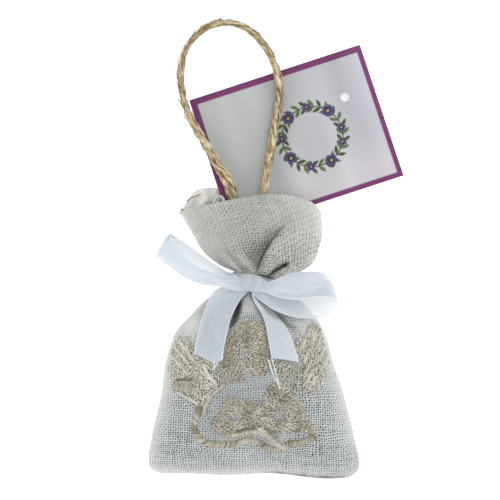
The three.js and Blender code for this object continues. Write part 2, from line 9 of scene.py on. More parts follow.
import bpy
import numpy as np
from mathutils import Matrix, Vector


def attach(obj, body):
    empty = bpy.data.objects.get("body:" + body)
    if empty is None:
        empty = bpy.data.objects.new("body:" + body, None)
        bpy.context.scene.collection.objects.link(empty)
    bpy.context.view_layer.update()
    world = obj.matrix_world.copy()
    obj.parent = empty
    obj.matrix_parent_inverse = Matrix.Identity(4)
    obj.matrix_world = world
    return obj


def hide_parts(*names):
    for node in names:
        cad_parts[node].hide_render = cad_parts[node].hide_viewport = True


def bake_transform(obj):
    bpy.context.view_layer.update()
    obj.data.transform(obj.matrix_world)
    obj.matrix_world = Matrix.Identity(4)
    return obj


MM = 0.001
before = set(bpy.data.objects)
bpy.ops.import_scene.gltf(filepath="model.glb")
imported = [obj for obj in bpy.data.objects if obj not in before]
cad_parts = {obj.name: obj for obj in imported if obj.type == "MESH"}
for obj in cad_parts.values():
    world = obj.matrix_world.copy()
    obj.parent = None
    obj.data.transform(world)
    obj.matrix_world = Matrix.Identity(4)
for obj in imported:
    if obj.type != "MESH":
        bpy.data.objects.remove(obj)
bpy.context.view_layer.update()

# Bag sizes, as in the part's source
BOTTOM_REACH = 23.2
POUCH_LENGTH = 57.4
TIE_LENGTH = 4.8
MOUTH_LENGTH = 24.5
BASE_WIDTH = 65.6
WAIST_WIDTH = 57.0
SHOULDER_WIDTH = 46.6
NECK_WIDTH = 13.0
MOUTH_WIDTH = 42.8
NECK_SHIFT = -0.6
POUCH_HEIGHT = 23.8
NECK_HEIGHT = 10.4
NECK_LEVEL = 10.0
MOUTH_HEIGHT = 11.0
MOUTH_LEVEL = 0.8
SEAM_LEVEL = 8.0
BOTTOM_SEAM_LEVEL = 5.0
BOTTOM_CORNER = 3.2
BOTTOM_DROOP = 1.4
BACK_SAG = 4.0
GATHER_REACH = 13.0
RIM_CROWN = 4.6
BACK_RIM_CROWN = 6.8
BACK_CORNER_RISE = 2.6
BACK_CORNER_PLACE = -0.6
BACK_CORNER_REACH = 0.26
RIM_SLOPE = 0.8
RIM_LEAN = 2.0
HEM_DEPTH = 4.5

CLOTH = 0.4  # real thickness of the linen
SEAM_GAP = 0.1  # between the panels at their seams
BOTTOM_ROUND = 1.5  # how far from the bottom seam the panels part to their full height
THREAD_PITCH = 0.8  # between neighbouring threads of the linen
FLAT_BAG = (68.0, 100.0)  # one panel as cut
WEFT_ARCH = 0.018  # how far the mouth's threads bend down to its sides

# Ribbon, twine, card and embroidery sizes
RIBBON = 0.18
KNOT = np.array([-0.3, 36.0, 18.7])
KNOT_MIDDLE = KNOT + [0.1, 0.4, 0.0]
KNOT_HALF = np.array([4.0, 2.7, 1.9])
KNOT_TURN = math.radians(-11)
CARD_LENGTH = 56.1
CARD_HEIGHT = 43.5
CARD_THICKNESS = 0.45
BORDER_LEFT = BORDER_TOP = 2.1
BORDER_RIGHT = BORDER_LOW = 1.65
CARD_TURN = math.radians(18.1)
CARD_TILT = math.radians(7.2)
CARD_CORNER = np.array([-6.2, 52.2, 5.62])
CARD_HOLE = (46.5, 29.2, 1.4)  # place along and up the card, and radius

# The photograph's frame
PICTURE_SIDE = 500
MM_PER_PIXEL = 0.31
ORIGIN_PIXEL = (252, 400)
LENS = 200.0
SENSOR = 36.0
PICTURE_PLANE = 8.0  # height at which the scale holds

random = np.random.default_rng(7)


def lerp(a, b, t):
    return a + (b - a) * t


def smoothstep(low, high, value):
    t = np.clip((value - low) / (high - low), 0, 1)
    return t * t * (3 - 2 * t)


def bell(*offsets):
    """1 in the middle, falling smoothly to 0 with the offsets from it."""
    return np.exp(-sum(offset**2 for offset in offsets))


def signed_power(value, power):
    return np.sign(value) * np.abs(value) ** power


def turned(x, y, angle):
    return x * math.cos(angle) - y * math.sin(angle), x * math.sin(angle) + y * math.cos(angle)


def unit(vectors):
    return vectors / np.maximum(np.linalg.norm(vectors, axis=-1, keepdims=True), 1e-9)


def lengths_of(path):
    """How far along a path each of its points lies."""
    return np.concatenate([[0], np.cumsum(np.linalg.norm(np.diff(path, axis=0), axis=1))])


def smooth_through(places, values):
    """A curve through the values that never overshoots them."""
    places, values = np.asarray(places, float), np.asarray(values, float)
    secants = np.diff(values) / np.diff(places)
    before, after = secants[:-1], secants[1:]
    same = before * after > 0
    middle = np.where(same, 2 * before * after / np.where(same, before + after, 1), 0)
    slopes = np.concatenate([secants[:1], middle, secants[-1:]])

    def at(y):
        i = np.clip(np.searchsorted(places, y) - 1, 0, len(places) - 2)
        span = places[i + 1] - places[i]
        u = np.clip((y - places[i]) / span, 0, 1)
        ease = u * u * (3 - 2 * u)
        leaving = span * slopes[i] * u * (1 - u) ** 2
        arriving = span * slopes[i + 1] * u * u * (u - 1)
        return lerp(values[i], values[i + 1], ease) + leaving + arriving

    return at


def curve_through(points, count):
    """Evenly spread points on a smooth curve through the given ones."""
    points = np.asarray(points, float)
    knots = np.concatenate([[0], np.cumsum(np.linalg.norm(np.diff(points, axis=0), axis=1) ** 0.5)])
    slopes = np.gradient(points, knots, axis=0)
    at = np.linspace(0, knots[-1], 8 * len(points))
    i = np.clip(np.searchsorted(knots, at) - 1, 0, len(knots) - 2)
    span = (knots[i + 1] - knots[i])[:, None]
    u = (at - knots[i])[:, None] / span
    fine = (
        points[i] * (2 * u**3 - 3 * u**2 + 1)
        + span * slopes[i] * (u**3 - 2 * u**2 + u)
        + points[i + 1] * (3 * u**2 - 2 * u**3)
        + span * slopes[i + 1] * (u**3 - u**2)
    )
    far = lengths_of(fine)
    even = np.linspace(0, far[-1], count)
    return np.stack([np.interp(even, far, column) for column in fine.T], axis=1)


def waves(x, y, length, seed, count=9):
    """Smooth seeded unevenness of about -1 to 1, with bumps about as long as length."""
    own = np.random.default_rng(seed)
    total = np.zeros(np.broadcast(x, y).shape)
    for _ in range(count):
        turn = own.uniform(0, 2 * math.pi)
        pitch = 2 * math.pi / (length * own.uniform(0.7, 1.5))
        phase = own.uniform(0, 2 * math.pi)
        total += np.sin(pitch * (x * math.cos(turn) + y * math.sin(turn)) + phase)
    return total / math.sqrt(count)


# Meshes


def make_object(name, points, faces, uv, material):
    """A smooth mesh of points in millimetres; uv holds one pair for each point."""
    mesh = bpy.data.meshes.new(name)
    mesh.from_pydata((np.asarray(points, float) * MM).tolist(), [], [list(map(int, f)) for f in faces])
    mesh.materials.append(material)
    corner = np.empty(len(mesh.loops), int)
    mesh.loops.foreach_get("vertex_index", corner)
    layer = mesh.uv_layers.new(name="UVMap")
    layer.data.foreach_set("uv", np.asarray(uv, np.float32)[corner].ravel())
    mesh.polygons.foreach_set("use_smooth", np.full(len(mesh.polygons), True))
    mesh.update()
    made = bpy.data.objects.new(name, mesh)
    bpy.context.scene.collection.objects.link(made)
    return made


def set_attribute(made, name, outside, inside=None):
    """A number for each point of a sheet: of its outside, and of its inside if that differs."""
    inside = outside if inside is None else inside
    attribute = made.data.attributes.new(name, "FLOAT", "POINT")
    attribute.data.foreach_set("value", np.concatenate([outside.ravel(), inside.ravel()]).astype(np.float32))


def grid_faces(rows, columns):
    i, j = np.meshgrid(np.arange(rows - 1), np.arange(columns - 1), indexing="ij")
    a = i * columns + j
    return np.stack([a, a + 1, a + columns + 1, a + columns], axis=-1).reshape(-1, 4)


def normals_of(grid):
    return unit(np.cross(np.gradient(grid, axis=1), np.gradient(grid, axis=0)))


def closed(upper, lower):
    """Points and faces of a solid between two grids, with walls round their edges."""
    rows, columns = upper.shape[:2]
    size = rows * columns
    index = np.arange(size).reshape(rows, columns)
    rim = np.concatenate([index[0, :-1], index[:-1, -1], index[-1, :0:-1], index[:0:-1, 0]])
    following = np.roll(rim, -1)
    walls = np.stack([rim, rim + size, following + size, following], axis=1)
    faces = grid_faces(rows, columns)
    points = np.concatenate([upper.reshape(-1, 3), lower.reshape(-1, 3)])
    return points, np.concatenate([faces, faces[:, ::-1] + size, walls])


def shell_object(name, grid, thickness, u, v, material):
    """A closed sheet whose outside is the grid. Its thickness goes against the grid's normals."""
    points, faces = closed(grid, grid - normals_of(grid) * thickness)
    uv = np.stack([np.broadcast_to(k, grid.shape[:2]).ravel() for k in (u, v)], axis=1)
    return make_object(name, points, faces, np.concatenate([uv, uv]), material)


def ring_faces(count, sides):
    """Faces of a tube of closed rings of points, with its two ends."""
    i, j = np.meshgrid(np.arange(count - 1), np.arange(sides), indexing="ij")
    a, b = i * sides + j, i * sides + (j + 1) % sides
    faces = np.stack([a, b, b + sides, a + sides], axis=-1).reshape(-1, 4).tolist()
    return [*faces, list(range(sides))[::-1], list(range((count - 1) * sides, count * sides))]


TUBE_UP = (0.13, 0.21, 0.97)  # along no path that a tube takes


def tube(path, radius, sides):
    """Points, faces and uv of a closed tube along a path. The uv is length and share of the way round."""
    path = np.asarray(path, float)
    count = len(path)
    tangent = unit(np.gradient(path, axis=0))
    side = unit(np.cross(tangent, TUBE_UP))[:, None]
    other = np.cross(tangent[:, None], side)
    angle = np.linspace(0, 2 * math.pi, sides, endpoint=False)[:, None]
    ring = side * np.cos(angle) + other * np.sin(angle)
    points = path[:, None] + ring * np.broadcast_to(radius, count)[:, None, None]
    uv = np.stack([np.repeat(lengths_of(path), sides), np.tile(np.arange(sides) / sides, count)], axis=1)
    return points.reshape(-1, 3), ring_faces(count, sides), uv


def joined(parts):
    """Several (points, faces, uv) as one."""
    points, faces, uv = zip(*parts)
    first = np.cumsum([0, *map(len, points)])
    moved = [[start + k for k in face] for start, own in zip(first, faces) for face in own]
    return np.concatenate(points), moved, np.concatenate(uv)


# Materials


def srgb(red, green, blue):
    """A colour written as 0 to 255 values, as the shader's linear values."""
    share = np.array([red, green, blue]) / 255
    linear = np.where(share <= 0.04045, share / 12.92, ((share + 0.055) / 1.055) ** 2.4)
    return tuple(map(float, linear))


BLACK = (0, 0, 0)
WHITE = (255, 255, 255)


class Nodes:
    """A material's node tree, with short calls for its nodes. Colours of three values are 0 to 255."""

    def __init__(self, name):
        self.material = bpy.data.materials.new(name)
        self.material.use_nodes = True
        self.tree = self.material.node_tree
        self.shader = self.tree.nodes["Principled BSDF"]

    def feed(self, socket, value):
        if isinstance(value, bpy.types.NodeSocket):
            self.tree.links.new(value, socket)
        elif isinstance(value, tuple) and len(value) == 3:
            socket.default_value = (*srgb(*value), 1)
        else:
            socket.default_value = value

    def add(self, kind, *values, **settings):
        """A node with its settings made and its first inputs fed."""
        node = self.tree.nodes.new(kind)
        for key, value in settings.items():
            setattr(node, key, value)
        for socket, value in zip(node.inputs, values):
            self.feed(socket, value)
        return node

    def math(self, operation, *values):
        return self.add("ShaderNodeMath", *values, operation=operation).outputs[0]

    def times(self, a, b, plus=0.0):
        return self.math("MULTIPLY_ADD", a, b, plus)

    def less(self, a, b):
        return self.math("SUBTRACT", a, b)

    def uv(self):
        return self.add("ShaderNodeSeparateXYZ", self.add("ShaderNodeTexCoord").outputs["UV"]).outputs[:2]

    def vector(self, x, y, z=0.0):
        return self.add("ShaderNodeCombineXYZ", x, y, z).outputs[0]

    def noise(self, vector, scale, detail=2.0):
        node = self.add("ShaderNodeTexNoise", vector)
        node.inputs["Scale"].default_value = scale
        node.inputs["Detail"].default_value = detail
        return node.outputs["Fac"]

    def streaks(self, along, across, shift=0.0, detail=2.0):
        """Noise over two values, each with its own scale."""
        return self.noise(self.vector(self.times(*along), self.times(*across), shift), 1.0, detail)

    def attribute(self, name, output="Fac"):
        return self.add("ShaderNodeAttribute", attribute_name=name).outputs[output]

    def ramp(self, value, *stops):
        node = self.add("ShaderNodeValToRGB", value)
        elements = node.color_ramp.elements
        while len(elements) < len(stops):
            elements.new(0.5)
        for element, (place, colour) in zip(elements, stops):
            element.position = place
            element.color = (*srgb(*colour), 1)
        return node.outputs[0]

    def mix(self, share, a, b, blend="MIX"):
        node = self.add("ShaderNodeMix", share, data_type="RGBA", blend_type=blend)
        self.feed(node.inputs[6], a)
        self.feed(node.inputs[7], b)
        return node.outputs[2]

    def bump(self, height, strength, distance):
        node = self.add("ShaderNodeBump")
        for name, value in {"Height": height, "Strength": strength, "Distance": distance}.items():
            self.feed(node.inputs[name], value)
        self.feed(self.shader.inputs["Normal"], node.outputs[0])

    def finish(self, colour, roughness, **sockets):
        for name, value in {"Base_Color": colour, "Roughness": roughness, **sockets}.items():
            self.feed(self.shader.inputs[name.replace("_", " ")], value)
        return self.material


def linen_material():
    """Open plain weave: dark gaps between slubby threads, every second gap wider. UV is in millimetres.

    The mesh says where the weave is open, filled or hidden by stitches, painted pale (painted light) or
    creased (painted shade).
    """
    n = Nodes("linen")
    u, v = n.uv()
    place, swapped = n.vector(u, v), n.vector(v, u, 3.0)
    drift_u = n.times(n.noise(swapped, 0.9), 0.5, n.times(n.noise(place, 0.13), 2.2, u))
    drift_v = n.times(n.noise(place, 0.9), 0.5, n.times(n.noise(swapped, 0.13), 2.2, v))
    turns = [n.times(drift, math.pi / THREAD_PITCH) for drift in (drift_u, drift_v)]
    over = n.times(*(n.math("SINE", turn) for turn in turns))
    every_second = n.times(*(n.math("COSINE", turn) for turn in turns))
    gaps = n.math("ADD", *(n.math("COSINE", n.times(turn, 2.0)) for turn in turns))
    slub_u = n.streaks((drift_u, 1.25), (v, 0.09))
    slub_v = n.streaks((u, 0.09), (drift_v, 1.25), 5.0)
    slub = n.times(slub_v, 0.5, n.times(slub_u, 0.5))
    opened = n.times(gaps, 0.52, n.times(every_second, 0.24))
    for uneven, weight in ((n.noise(place, 0.11, 3.0), 0.8), (n.noise(place, 0.7), 1.1), (slub, -1.4)):
        opened = n.times(n.less(uneven, 0.5), weight, opened)
    opened = n.math("ADD", opened, n.less(n.attribute("open"), 1.0))
    hole = n.ramp(opened, (0.15, BLACK), (0.95, WHITE))
    thread = n.ramp(slub, (0.34, (196, 197, 192)), (0.5, (214, 215, 210)), (0.66, (224, 225, 221)))
    # Painted shade: the threads' edges are darkened where they sink under each other.
    between = n.times(gaps, 0.25, n.times(over, 0.12, 0.5))
    sunk_shade = n.times(n.ramp(between, (0.1, BLACK), (0.62, WHITE)), 0.42)
    thread = n.mix(sunk_shade, thread, (120, 118, 112))
    filled = n.attribute("filled")
    cool = n.mix(filled, thread, n.mix(1.0, thread, (236, 241, 247), "MULTIPLY"))
    woven = n.mix(hole, cool, n.mix(filled, (92, 90, 84), (50, 51, 64)))
    ground = n.mix(hole, (182, 177, 161), (122, 114, 96))
    covered = n.mix(n.attribute("stitched"), woven, ground)
    # Painted light: the pale attribute lightens the cloth along its seams and at bright places.
    lit = n.mix(n.attribute("pale"), covered, (248, 246, 240))
    # Painted shade: the crease attribute darkens the cloth in its folds, pockets, the seam's gap and the
    # mouth.
    colour = n.mix(n.attribute("crease"), lit, n.mix(filled, (36, 34, 25), (62, 57, 60)))
    n.bump(n.times(hole, -1.0, n.times(over, -0.4)), 0.5, 0.0003)
    return n.finish(colour, 0.95, Sheen_Weight=0.25, Specular_IOR_Level=0.1)


def ribbon_material():
    """Sheer ribbon with fine lengthwise lines and brighter woven edges. UV is length and share of width."""
    n = Nodes("ribbon")
    u, v = n.uv()
    lines = n.streaks((u, 0.02), (v, 60.0), detail=3.0)
    cloud = n.streaks((u, 0.12), (v, 2.0), 4.0)
    shade = n.times(cloud, 0.5, n.times(lines, 0.5))
    field = n.ramp(shade, (0.3, (198, 207, 218)), (0.5, (211, 219, 227)), (0.7, (224, 230, 235)))
    from_middle = n.math("ABSOLUTE", n.less(v, 0.5))
    edge = n.ramp(from_middle, (0.45, BLACK), (0.47, WHITE))
    # Painted light: the inside attribute whitens the loops' inner faces and the tails, and makes them more
    # see-through.
    inside = n.attribute("inside")
    bound = n.mix(edge, n.mix(inside, field, (244, 250, 254)), (238, 243, 247))
    colour = n.mix(n.attribute("shaded"), bound, (74, 82, 84))
    sheer = n.times(edge, 0.1, n.times(inside, -0.12, 0.64))
    n.bump(n.times(from_middle, 0.2, lines), 0.25, 0.0002)
    return n.finish(colour, 0.45, Alpha=sheer, Sheen_Weight=0.15, Specular_IOR_Level=0.25)


def jute_material():
    """Coarse plant fibre. UV is length in millimetres and share of the way round."""
    n = Nodes("jute")
    u, v = n.uv()
    fibre = n.streaks((u, 0.35), (v, 9.0), detail=4.0)
    shade = n.times(n.streaks((u, 0.12), (v, 1.0), 2.0), 0.35, n.less(fibre, 0.15))
    pale = (0.6, (206, 190, 158)), (0.76, (246, 240, 226))
    colour = n.ramp(shade, (0.34, (88, 70, 44)), (0.48, (162, 141, 104)), *pale)
    n.bump(fibre, 0.9, 0.0004)
    return n.finish(colour, 0.85, Sheen_Weight=0.05, Specular_IOR_Level=0.2)


def stitch_material():
    """Satin embroidery thread. UV is the thread's own shade and length along the stitch."""
    n = Nodes("embroidery_thread")
    u, v = n.uv()
    ply = n.streaks((u, 40.0), (v, 3.0), detail=3.0)
    shade = n.times(ply, 0.3, n.times(u, 0.75))
    pale = (0.58, (194, 190, 174)), (0.9, (216, 214, 203))
    colour = n.ramp(shade, (0.1, (100, 92, 74)), (0.34, (166, 159, 139)), *pale)
    n.bump(ply, 0.3, 0.0001)
    return n.finish(colour, 0.5, Sheen_Weight=0.2, Specular_IOR_Level=0.4)


def card_material():
    """Glossy board with a violet border and a printed wreath, which are a colour of the card's mesh."""
    n = Nodes("card_print_and_painted_light")
    u, v = n.uv()
    band = n.streaks((u, 0.09), (v, 0.012), 7.0, 1.0)
    field = n.ramp(band, (0.3, (186, 187, 189)), (0.5, (198, 199, 201)), (0.7, (210, 211, 213)))
    colour = n.mix(1.0, field, n.attribute("print", "Color"), "MULTIPLY")
    n.bump(n.noise(n.vector(u, v), 3.0, 3.0), 0.05, 0.0001)
    return n.finish(colour, 0.35, Specular_IOR_Level=0.25)


def lavender_material():
    n = Nodes("dried_lavender")
    shade = n.noise(n.vector(*n.uv()), 0.7, 4.0)
    pale = (0.62, (136, 122, 160)), (0.75, (122, 120, 92))
    colour = n.ramp(shade, (0.3, (70, 58, 92)), (0.5, (108, 92, 138)), *pale)
    n.bump(shade, 0.6, 0.0004)
    return n.finish(colour, 0.9, Sheen_Weight=0.1)


def floor_material():
    """Matt white that the camera sees a little brighter, so that it reads white around the shadow."""
    n = Nodes("floor")
    rays = n.add("ShaderNodeLightPath").outputs
    seen = n.math("MAXIMUM", rays["Is Camera Ray"], rays["Is Glossy Ray"])
    seen = n.math("MAXIMUM", seen, rays["Is Transmission Ray"])
    glow = {"Emission_Color": WHITE, "Emission_Strength": n.times(seen, 0.6)}
    return n.finish((0.93, 0.93, 0.93, 1), 0.9, Specular_IOR_Level=0.0, **glow)


LINEN = linen_material()
RIBBON_CLOTH = ribbon_material()
JUTE = jute_material()
STITCH = stitch_material()
CARD_PRINT = card_material()
LAVENDER = lavender_material()

# Bag surfaces: a place of the cloth is a share s of the way to a side seam, -1 to 1, and a y along the bag

BOTTOM_Y = -BOTTOM_REACH
TIE_START = BOTTOM_Y + POUCH_LENGTH
TIE_END = TIE_START + TIE_LENGTH
RIM_Y = TIE_END + MOUTH_LENGTH
NECK_TOP = NECK_LEVEL + NECK_HEIGHT / 2
NECK_BOTTOM = NECK_LEVEL - NECK_HEIGHT / 2
MOUTH_TOP = MOUTH_LEVEL + MOUTH_HEIGHT
MOUTH_SEAM = MOUTH_LEVEL + 0.43 * MOUTH_HEIGHT


def shares_between(low, high, *shares):
    return [lerp(low, high, share) for share in shares]


PLACES = [
    *shares_between(BOTTOM_Y, TIE_START, 0, 0.06, 0.2, 0.42, 0.62, 0.76, 0.88, 0.955, 1),
    *shares_between(TIE_END, RIM_Y, 0, 0.04, 0.12, 0.3, 0.54, 1.1),
]
half_width = smooth_through(
    PLACES,
    [
        *shares_between(0, BASE_WIDTH, 0.487, 0.5, 0.48),
        *shares_between(0, WAIST_WIDTH, 0.5, 0.452),
        *shares_between(0, SHOULDER_WIDTH, 0.5, 0.392, 0.292),
        *shares_between(0, NECK_WIDTH, 0.5, 0.5),
        *shares_between(0, MOUTH_WIDTH, 0.238, 0.334, 0.42, 0.476, 0.545),
    ],
)
POUCH_SHIFTS = [0.9, 0.6, 0.3, 0.2, -0.8, -0.7, 0.3, 0.2]
MOUTH_SHIFTS = [4.6, 4.1, 2.6, 1.5, -3.6]
side_shift = smooth_through(PLACES, [*POUCH_SHIFTS, NECK_SHIFT, NECK_SHIFT, *MOUTH_SHIFTS])
seam_level = smooth_through(
    PLACES,
    [
        *shares_between(BOTTOM_SEAM_LEVEL, SEAM_LEVEL, 0, 0.2, 0.67, 1),
        *shares_between(SEAM_LEVEL, NECK_LEVEL, 0.25, 0.5, 0.75, 0.9, 1, 1),
        *shares_between(NECK_LEVEL, MOUTH_SEAM, 0.05, 0.16, 0.42, 0.72, 1),
    ],
)
front_level = smooth_through(
    PLACES,
    [
        BOTTOM_SEAM_LEVEL + 1.1,
        *shares_between(BOTTOM_SEAM_LEVEL, POUCH_HEIGHT, 0.37, 0.75, 0.96, 1),
        *shares_between(NECK_TOP, POUCH_HEIGHT, 0.79, 0.44, 0.18, 0, 0),
        NECK_TOP + 0.2,
        NECK_TOP + 0.4,
        *shares_between(NECK_TOP, MOUTH_TOP, 0.1, 0.5, 1),
    ],
)
back_level = smooth_through(
    PLACES,
    [
        BOTTOM_SEAM_LEVEL - 1.1,
        0.5,
        *shares_between(0, -BACK_SAG, 0.8, 1, 1, 0.8),
        *shares_between(0, NECK_BOTTOM, 0.16, 0.55, 1, 1),
        *shares_between(NECK_BOTTOM, MOUTH_LEVEL, 0.1, 0.3, 0.62, 0.9, 1),
    ],
)


def gathered(y, reach=GATHER_REACH):
    return bell(np.maximum(0, np.maximum(TIE_START - y, y - TIE_END)) / reach)


def swell(s, y):
    near = gathered(y)
    inside = 1 - np.minimum(1, np.abs(s)) ** lerp(2.3, 2.0, near)
    return np.maximum(inside, 0) ** lerp(0.62, 0.5, near)


def across_bag(s, y):
    return side_shift(y) + half_width(y) * s


# Folds of the front cloth in plan: path; depth at its start, middle and end; reach to its left and right;
# height of the puff beyond its right side; half width of its painted dark core, reach of its painted soft
# left shade, and its darkness
FRONT_FOLDS = [
    (
        [(1.7, 40.8), (2.4, 42.6), (3.7, 45.6), (5.3, 48.4), (7.6, 51.4), (9.8, 54.0)],
        (2.2, 3.4, 0.4), 2.6, 0.6, 2.0, (0.46, 1.8, 0.82),
    ),
    (
        [(4.0, 37.4), (5.6, 38.9), (7.3, 40.2), (8.9, 41.2), (10.3, 41.9)],
        (0.8, 2.4, 3.8), 0.9, 0.9, 0.6, (0.66, 0.8, 1.0),
    ),
    ([(-2.0, 45.4), (-0.2, 43.8), (1.9, 41.8)], (0.2, 1.2, 1.4), 1.8, 0.6, 0.0, (0.25, 1.2, 0.25)),
    ([(-8.6, 46.6), (-5.4, 43.0), (-3.0, 39.6)], (0.2, 0.7, 1.4), 1.1, 1.1, 0.4, (0.4, 0.4, 0.1)),
    (
        [(-6.6, 22.8), (-5.5, 25.0), (-4.6, 27.4), (-3.9, 30.4), (-3.0, 33.4)],
        (0.4, 4.4, 3.0), 1.4, 0.7, 1.4, (0.5, 1.0, 0.3),
    ),
    (
        [(1.6, 33.6), (4.6, 28.8), (8.6, 25.2), (13.0, 22.2)],
        (4.0, 3.0, 0.4), 1.2, 1.6, 0.8, (1.2, 1.4, 0.55),
    ),
    ([(-4.4, 34.0), (-9.0, 30.0), (-14.0, 26.6)], (1.8, 1.0, 0.2), 1.3, 1.3, 0.4, (0.5, 0.5, 0.2)),
    ([(3.4, 34.0), (8.8, 31.2), (14.0, 29.6)], (1.8, 1.0, 0.2), 1.3, 1.3, 0.4, (0.5, 0.5, 0.2)),
]
FOLD_LINES = [curve_through(fold[0], 44) for fold in FRONT_FOLDS]
FOLD_END = 1.2  # how fast a fold fades past its ends
PUFF_END = 2.0
FOLD_SHADE_END = 0.6
SOFT_SHADE = 0.28  # of a fold's left side
POCKETS = [
    [
        (-3.1, 33.9), (-2.6, 33.2), (-3.1, 31.4), (-3.0, 28.0), (-4.0, 25.3), (-5.6, 23.3), (-6.9, 22.5),
        (-7.4, 23.3), (-6.0, 27.8), (-4.6, 30.9),
    ],
    [(-0.9, 34.2), (0.5, 33.8), (0.9, 32.7), (-0.2, 33.0)],
]  # places between folds that no light reaches
POCKET_DARKNESS = 0.62
POCKET_BLUR = 0.2
MOUTH_SHADE = 0.07  # of the mouth's left side, which is turned from the light
BOWL_SHADE = 0.06
UPPER_SHADE = 0.14  # of the mouth's middle below its rim
SHADE_SPOTS = [(13.4, 45.0, 4.4, 0.26), (11.4, 55.0, 3.8, 0.18)]  # of the mouth: place, reach and darkness
LOBE = (8.0, 40.2, 4.5, 2.2)  # puff of the mouth's right side over the tie: place and reach
LOBE_FALL = 2.2
LOBE_RISE = 1.8
BOWL = (0.4, 46.8, 5.2)  # hollow of the mouth's cloth: place and reach
BOWL_DEPTH = 2.0
CRUMPLED = (-15, 63, 7, 5)  # the back's left corner: place and reach


def near_spot(x, y, spot_x, spot_y, reach, reach_y=None):
    return bell((x - spot_x) / reach, (y - spot_y) / (reach_y or reach))


def beside_fold(x, y, line):
    """Share of the way along a fold's line, distance to its right and past its ends, of places in plan."""
    ahead = unit(np.gradient(line, axis=0))
    nearest = np.hypot(x[..., None] - line[:, 0], y[..., None] - line[:, 1]).argmin(axis=-1)
    off_x, off_y = x - line[nearest, 0], y - line[nearest, 1]
    side = off_x * ahead[nearest, 1] - off_y * ahead[nearest, 0]
    past = off_x * ahead[nearest, 0] + off_y * ahead[nearest, 1]
    return nearest / (len(line) - 1), side, past


def fold_rise(x, y):
    """How far the folds raise or lower the front cloth at places of the plan."""
    total = -BOWL_DEPTH * near_spot(x, y, *BOWL)
    for line, (_, depths, left, right, puff, _) in zip(FOLD_LINES, FRONT_FOLDS):
        share, side, past = beside_fold(x, y, line)
        depth = np.interp(share, (0, 0.5, 1), depths)
        reach = np.where(side < 0, left, right)
        total -= depth * np.exp(-((np.abs(side) / reach) ** 1.5)) * bell(past / FOLD_END)
        beyond = np.clip(side / right, 0, None)
        swollen = (1 - bell(beyond)) * bell(side / (5 * right + 1), past / PUFF_END)
        total += puff * depth / max(depths) * swollen
    return total


def fold_shade(x, y):
    """How much painted shade darkens the cloth along the folds, in the pockets and over the mouth, 0 to 1.
    """
    left_side = smoothstep(TIE_END, TIE_END + 5, y) * smoothstep(14, 3, x)
    light = 1 - MOUTH_SHADE * left_side * (1 + bell((x + 2) / 7))
    light *= 1 - UPPER_SHADE * smoothstep(48, 53, y) * bell((x - 3) / 8)
    for *place, darkness in [(*BOWL, BOWL_SHADE), *SHADE_SPOTS]:
        light *= 1 - darkness * near_spot(x, y, *place)
    for line, (_, depths, _, _, _, (half, soft, darkness)) in zip(FOLD_LINES, FRONT_FOLDS):
        share, side, past = beside_fold(x, y, line)
        depth = np.interp(share, (0, 0.5, 1), depths) / max(depths)
        core = np.exp(-np.abs(side / (half * (0.4 + 0.6 * depth))) ** 3)
        left = np.where(side < 0, SOFT_SHADE * bell(side / soft), 0)
        light *= 1 - darkness * depth**0.3 * np.maximum(core, left) * bell(past / FOLD_SHADE_END)
    for pocket in POCKETS:
        light *= 1 - POCKET_DARKNESS * blurred(within(pocket), x, y, POCKET_BLUR)
    return 1 - light


def blurred(inside, x, y, reach):
    """Share of the close surroundings of each place for which inside holds."""
    steps = [(0, 0), (reach, 0), (-reach, 0), (0, reach), (0, -reach)]
    return sum(np.asarray(inside(x + right, y + up), float) for right, up in steps) / len(steps)


def front_detail(s, x, y):
    """Unevenness of the front cloth over its smooth form: folds, gathers and the lumps of the filling."""
    inside = 1 - np.abs(s) ** 6
    gathers = 0.5 * gathered(y, 6.0) * np.cos(15 * s + 0.6 * np.sin(5 * s))
    lumps = 0.35 * waves(x, y, 13.0, 3) + 0.14 * waves(x, y, 5.0, 4)
    return inside * (lumps + gathers + fold_rise(x, y - LOBE_FALL * near_spot(x, y, *LOBE)))


def from_bottom(s, y):
    """How far the cloth has opened from the bottom seam, 0 to 1."""
    return np.clip((y - bottom_edge(s)) / BOTTOM_ROUND, 0, 1) ** 0.5


def front_height(s, y):
    x = across_bag(s, y)
    seam = seam_level(y) + SEAM_GAP / 2
    rise = np.maximum(0, front_level(y) - seam) * swell(s, y) + front_detail(s, x, y)
    return seam + rise * from_bottom(s, y)


def back_height(s, y):
    x = across_bag(s, y)
    seam = seam_level(y) - SEAM_GAP / 2
    gathers = 0.6 * gathered(y, 8.0) * np.cos(14 * s + 1.0)
    lumps = 0.25 * waves(x, y, 12.0, 8) + 0.5 * near_spot(x, y, *CRUMPLED) * waves(x, y, 3.4, 9)
    fall = np.maximum(0, seam - back_level(y)) * swell(s, y)
    return np.maximum(0.05, seam + ((1 - s**6) * (gathers + lumps) - fall) * from_bottom(s, y))


def front_at(x, y):
    """Height of the front cloth over places of the plan."""
    x, y = np.asarray(x, float), np.asarray(y, float)
    s = np.clip((x - side_shift(y)) / half_width(y), -1, 1)
    return front_height(s, y)


def rounded(share, start):
    """Fall of a rounded corner that begins at a share of the half width, 0 to 1."""
    past = np.clip((share - start) / (1 - start), 0, 1)
    return 1 - np.sqrt(1 - past * past)


def bottom_edge(s):
    droop = BOTTOM_DROOP * smoothstep(0.1, 0.85, s)
    return BOTTOM_Y - droop + 0.25 * np.sin(7 * s + 0.5) + BOTTOM_CORNER * rounded(np.abs(s), 0.86)


RIM_CORNER = 2.2  # how far the rim's right corner is rounded off
RIM_CORNER_START = 0.88  # as a share of the half width
RIM_DIP = (1.3, -0.2, 0.65)  # how far the front rim sags, where and how widely, as shares of the half width
FRONT_RIM = (RIM_CROWN, 0.0, RIM_DIP[0])  # crown, rise of the left corner and sag
BACK_RIM = (BACK_RIM_CROWN, BACK_CORNER_RISE, 0.0)


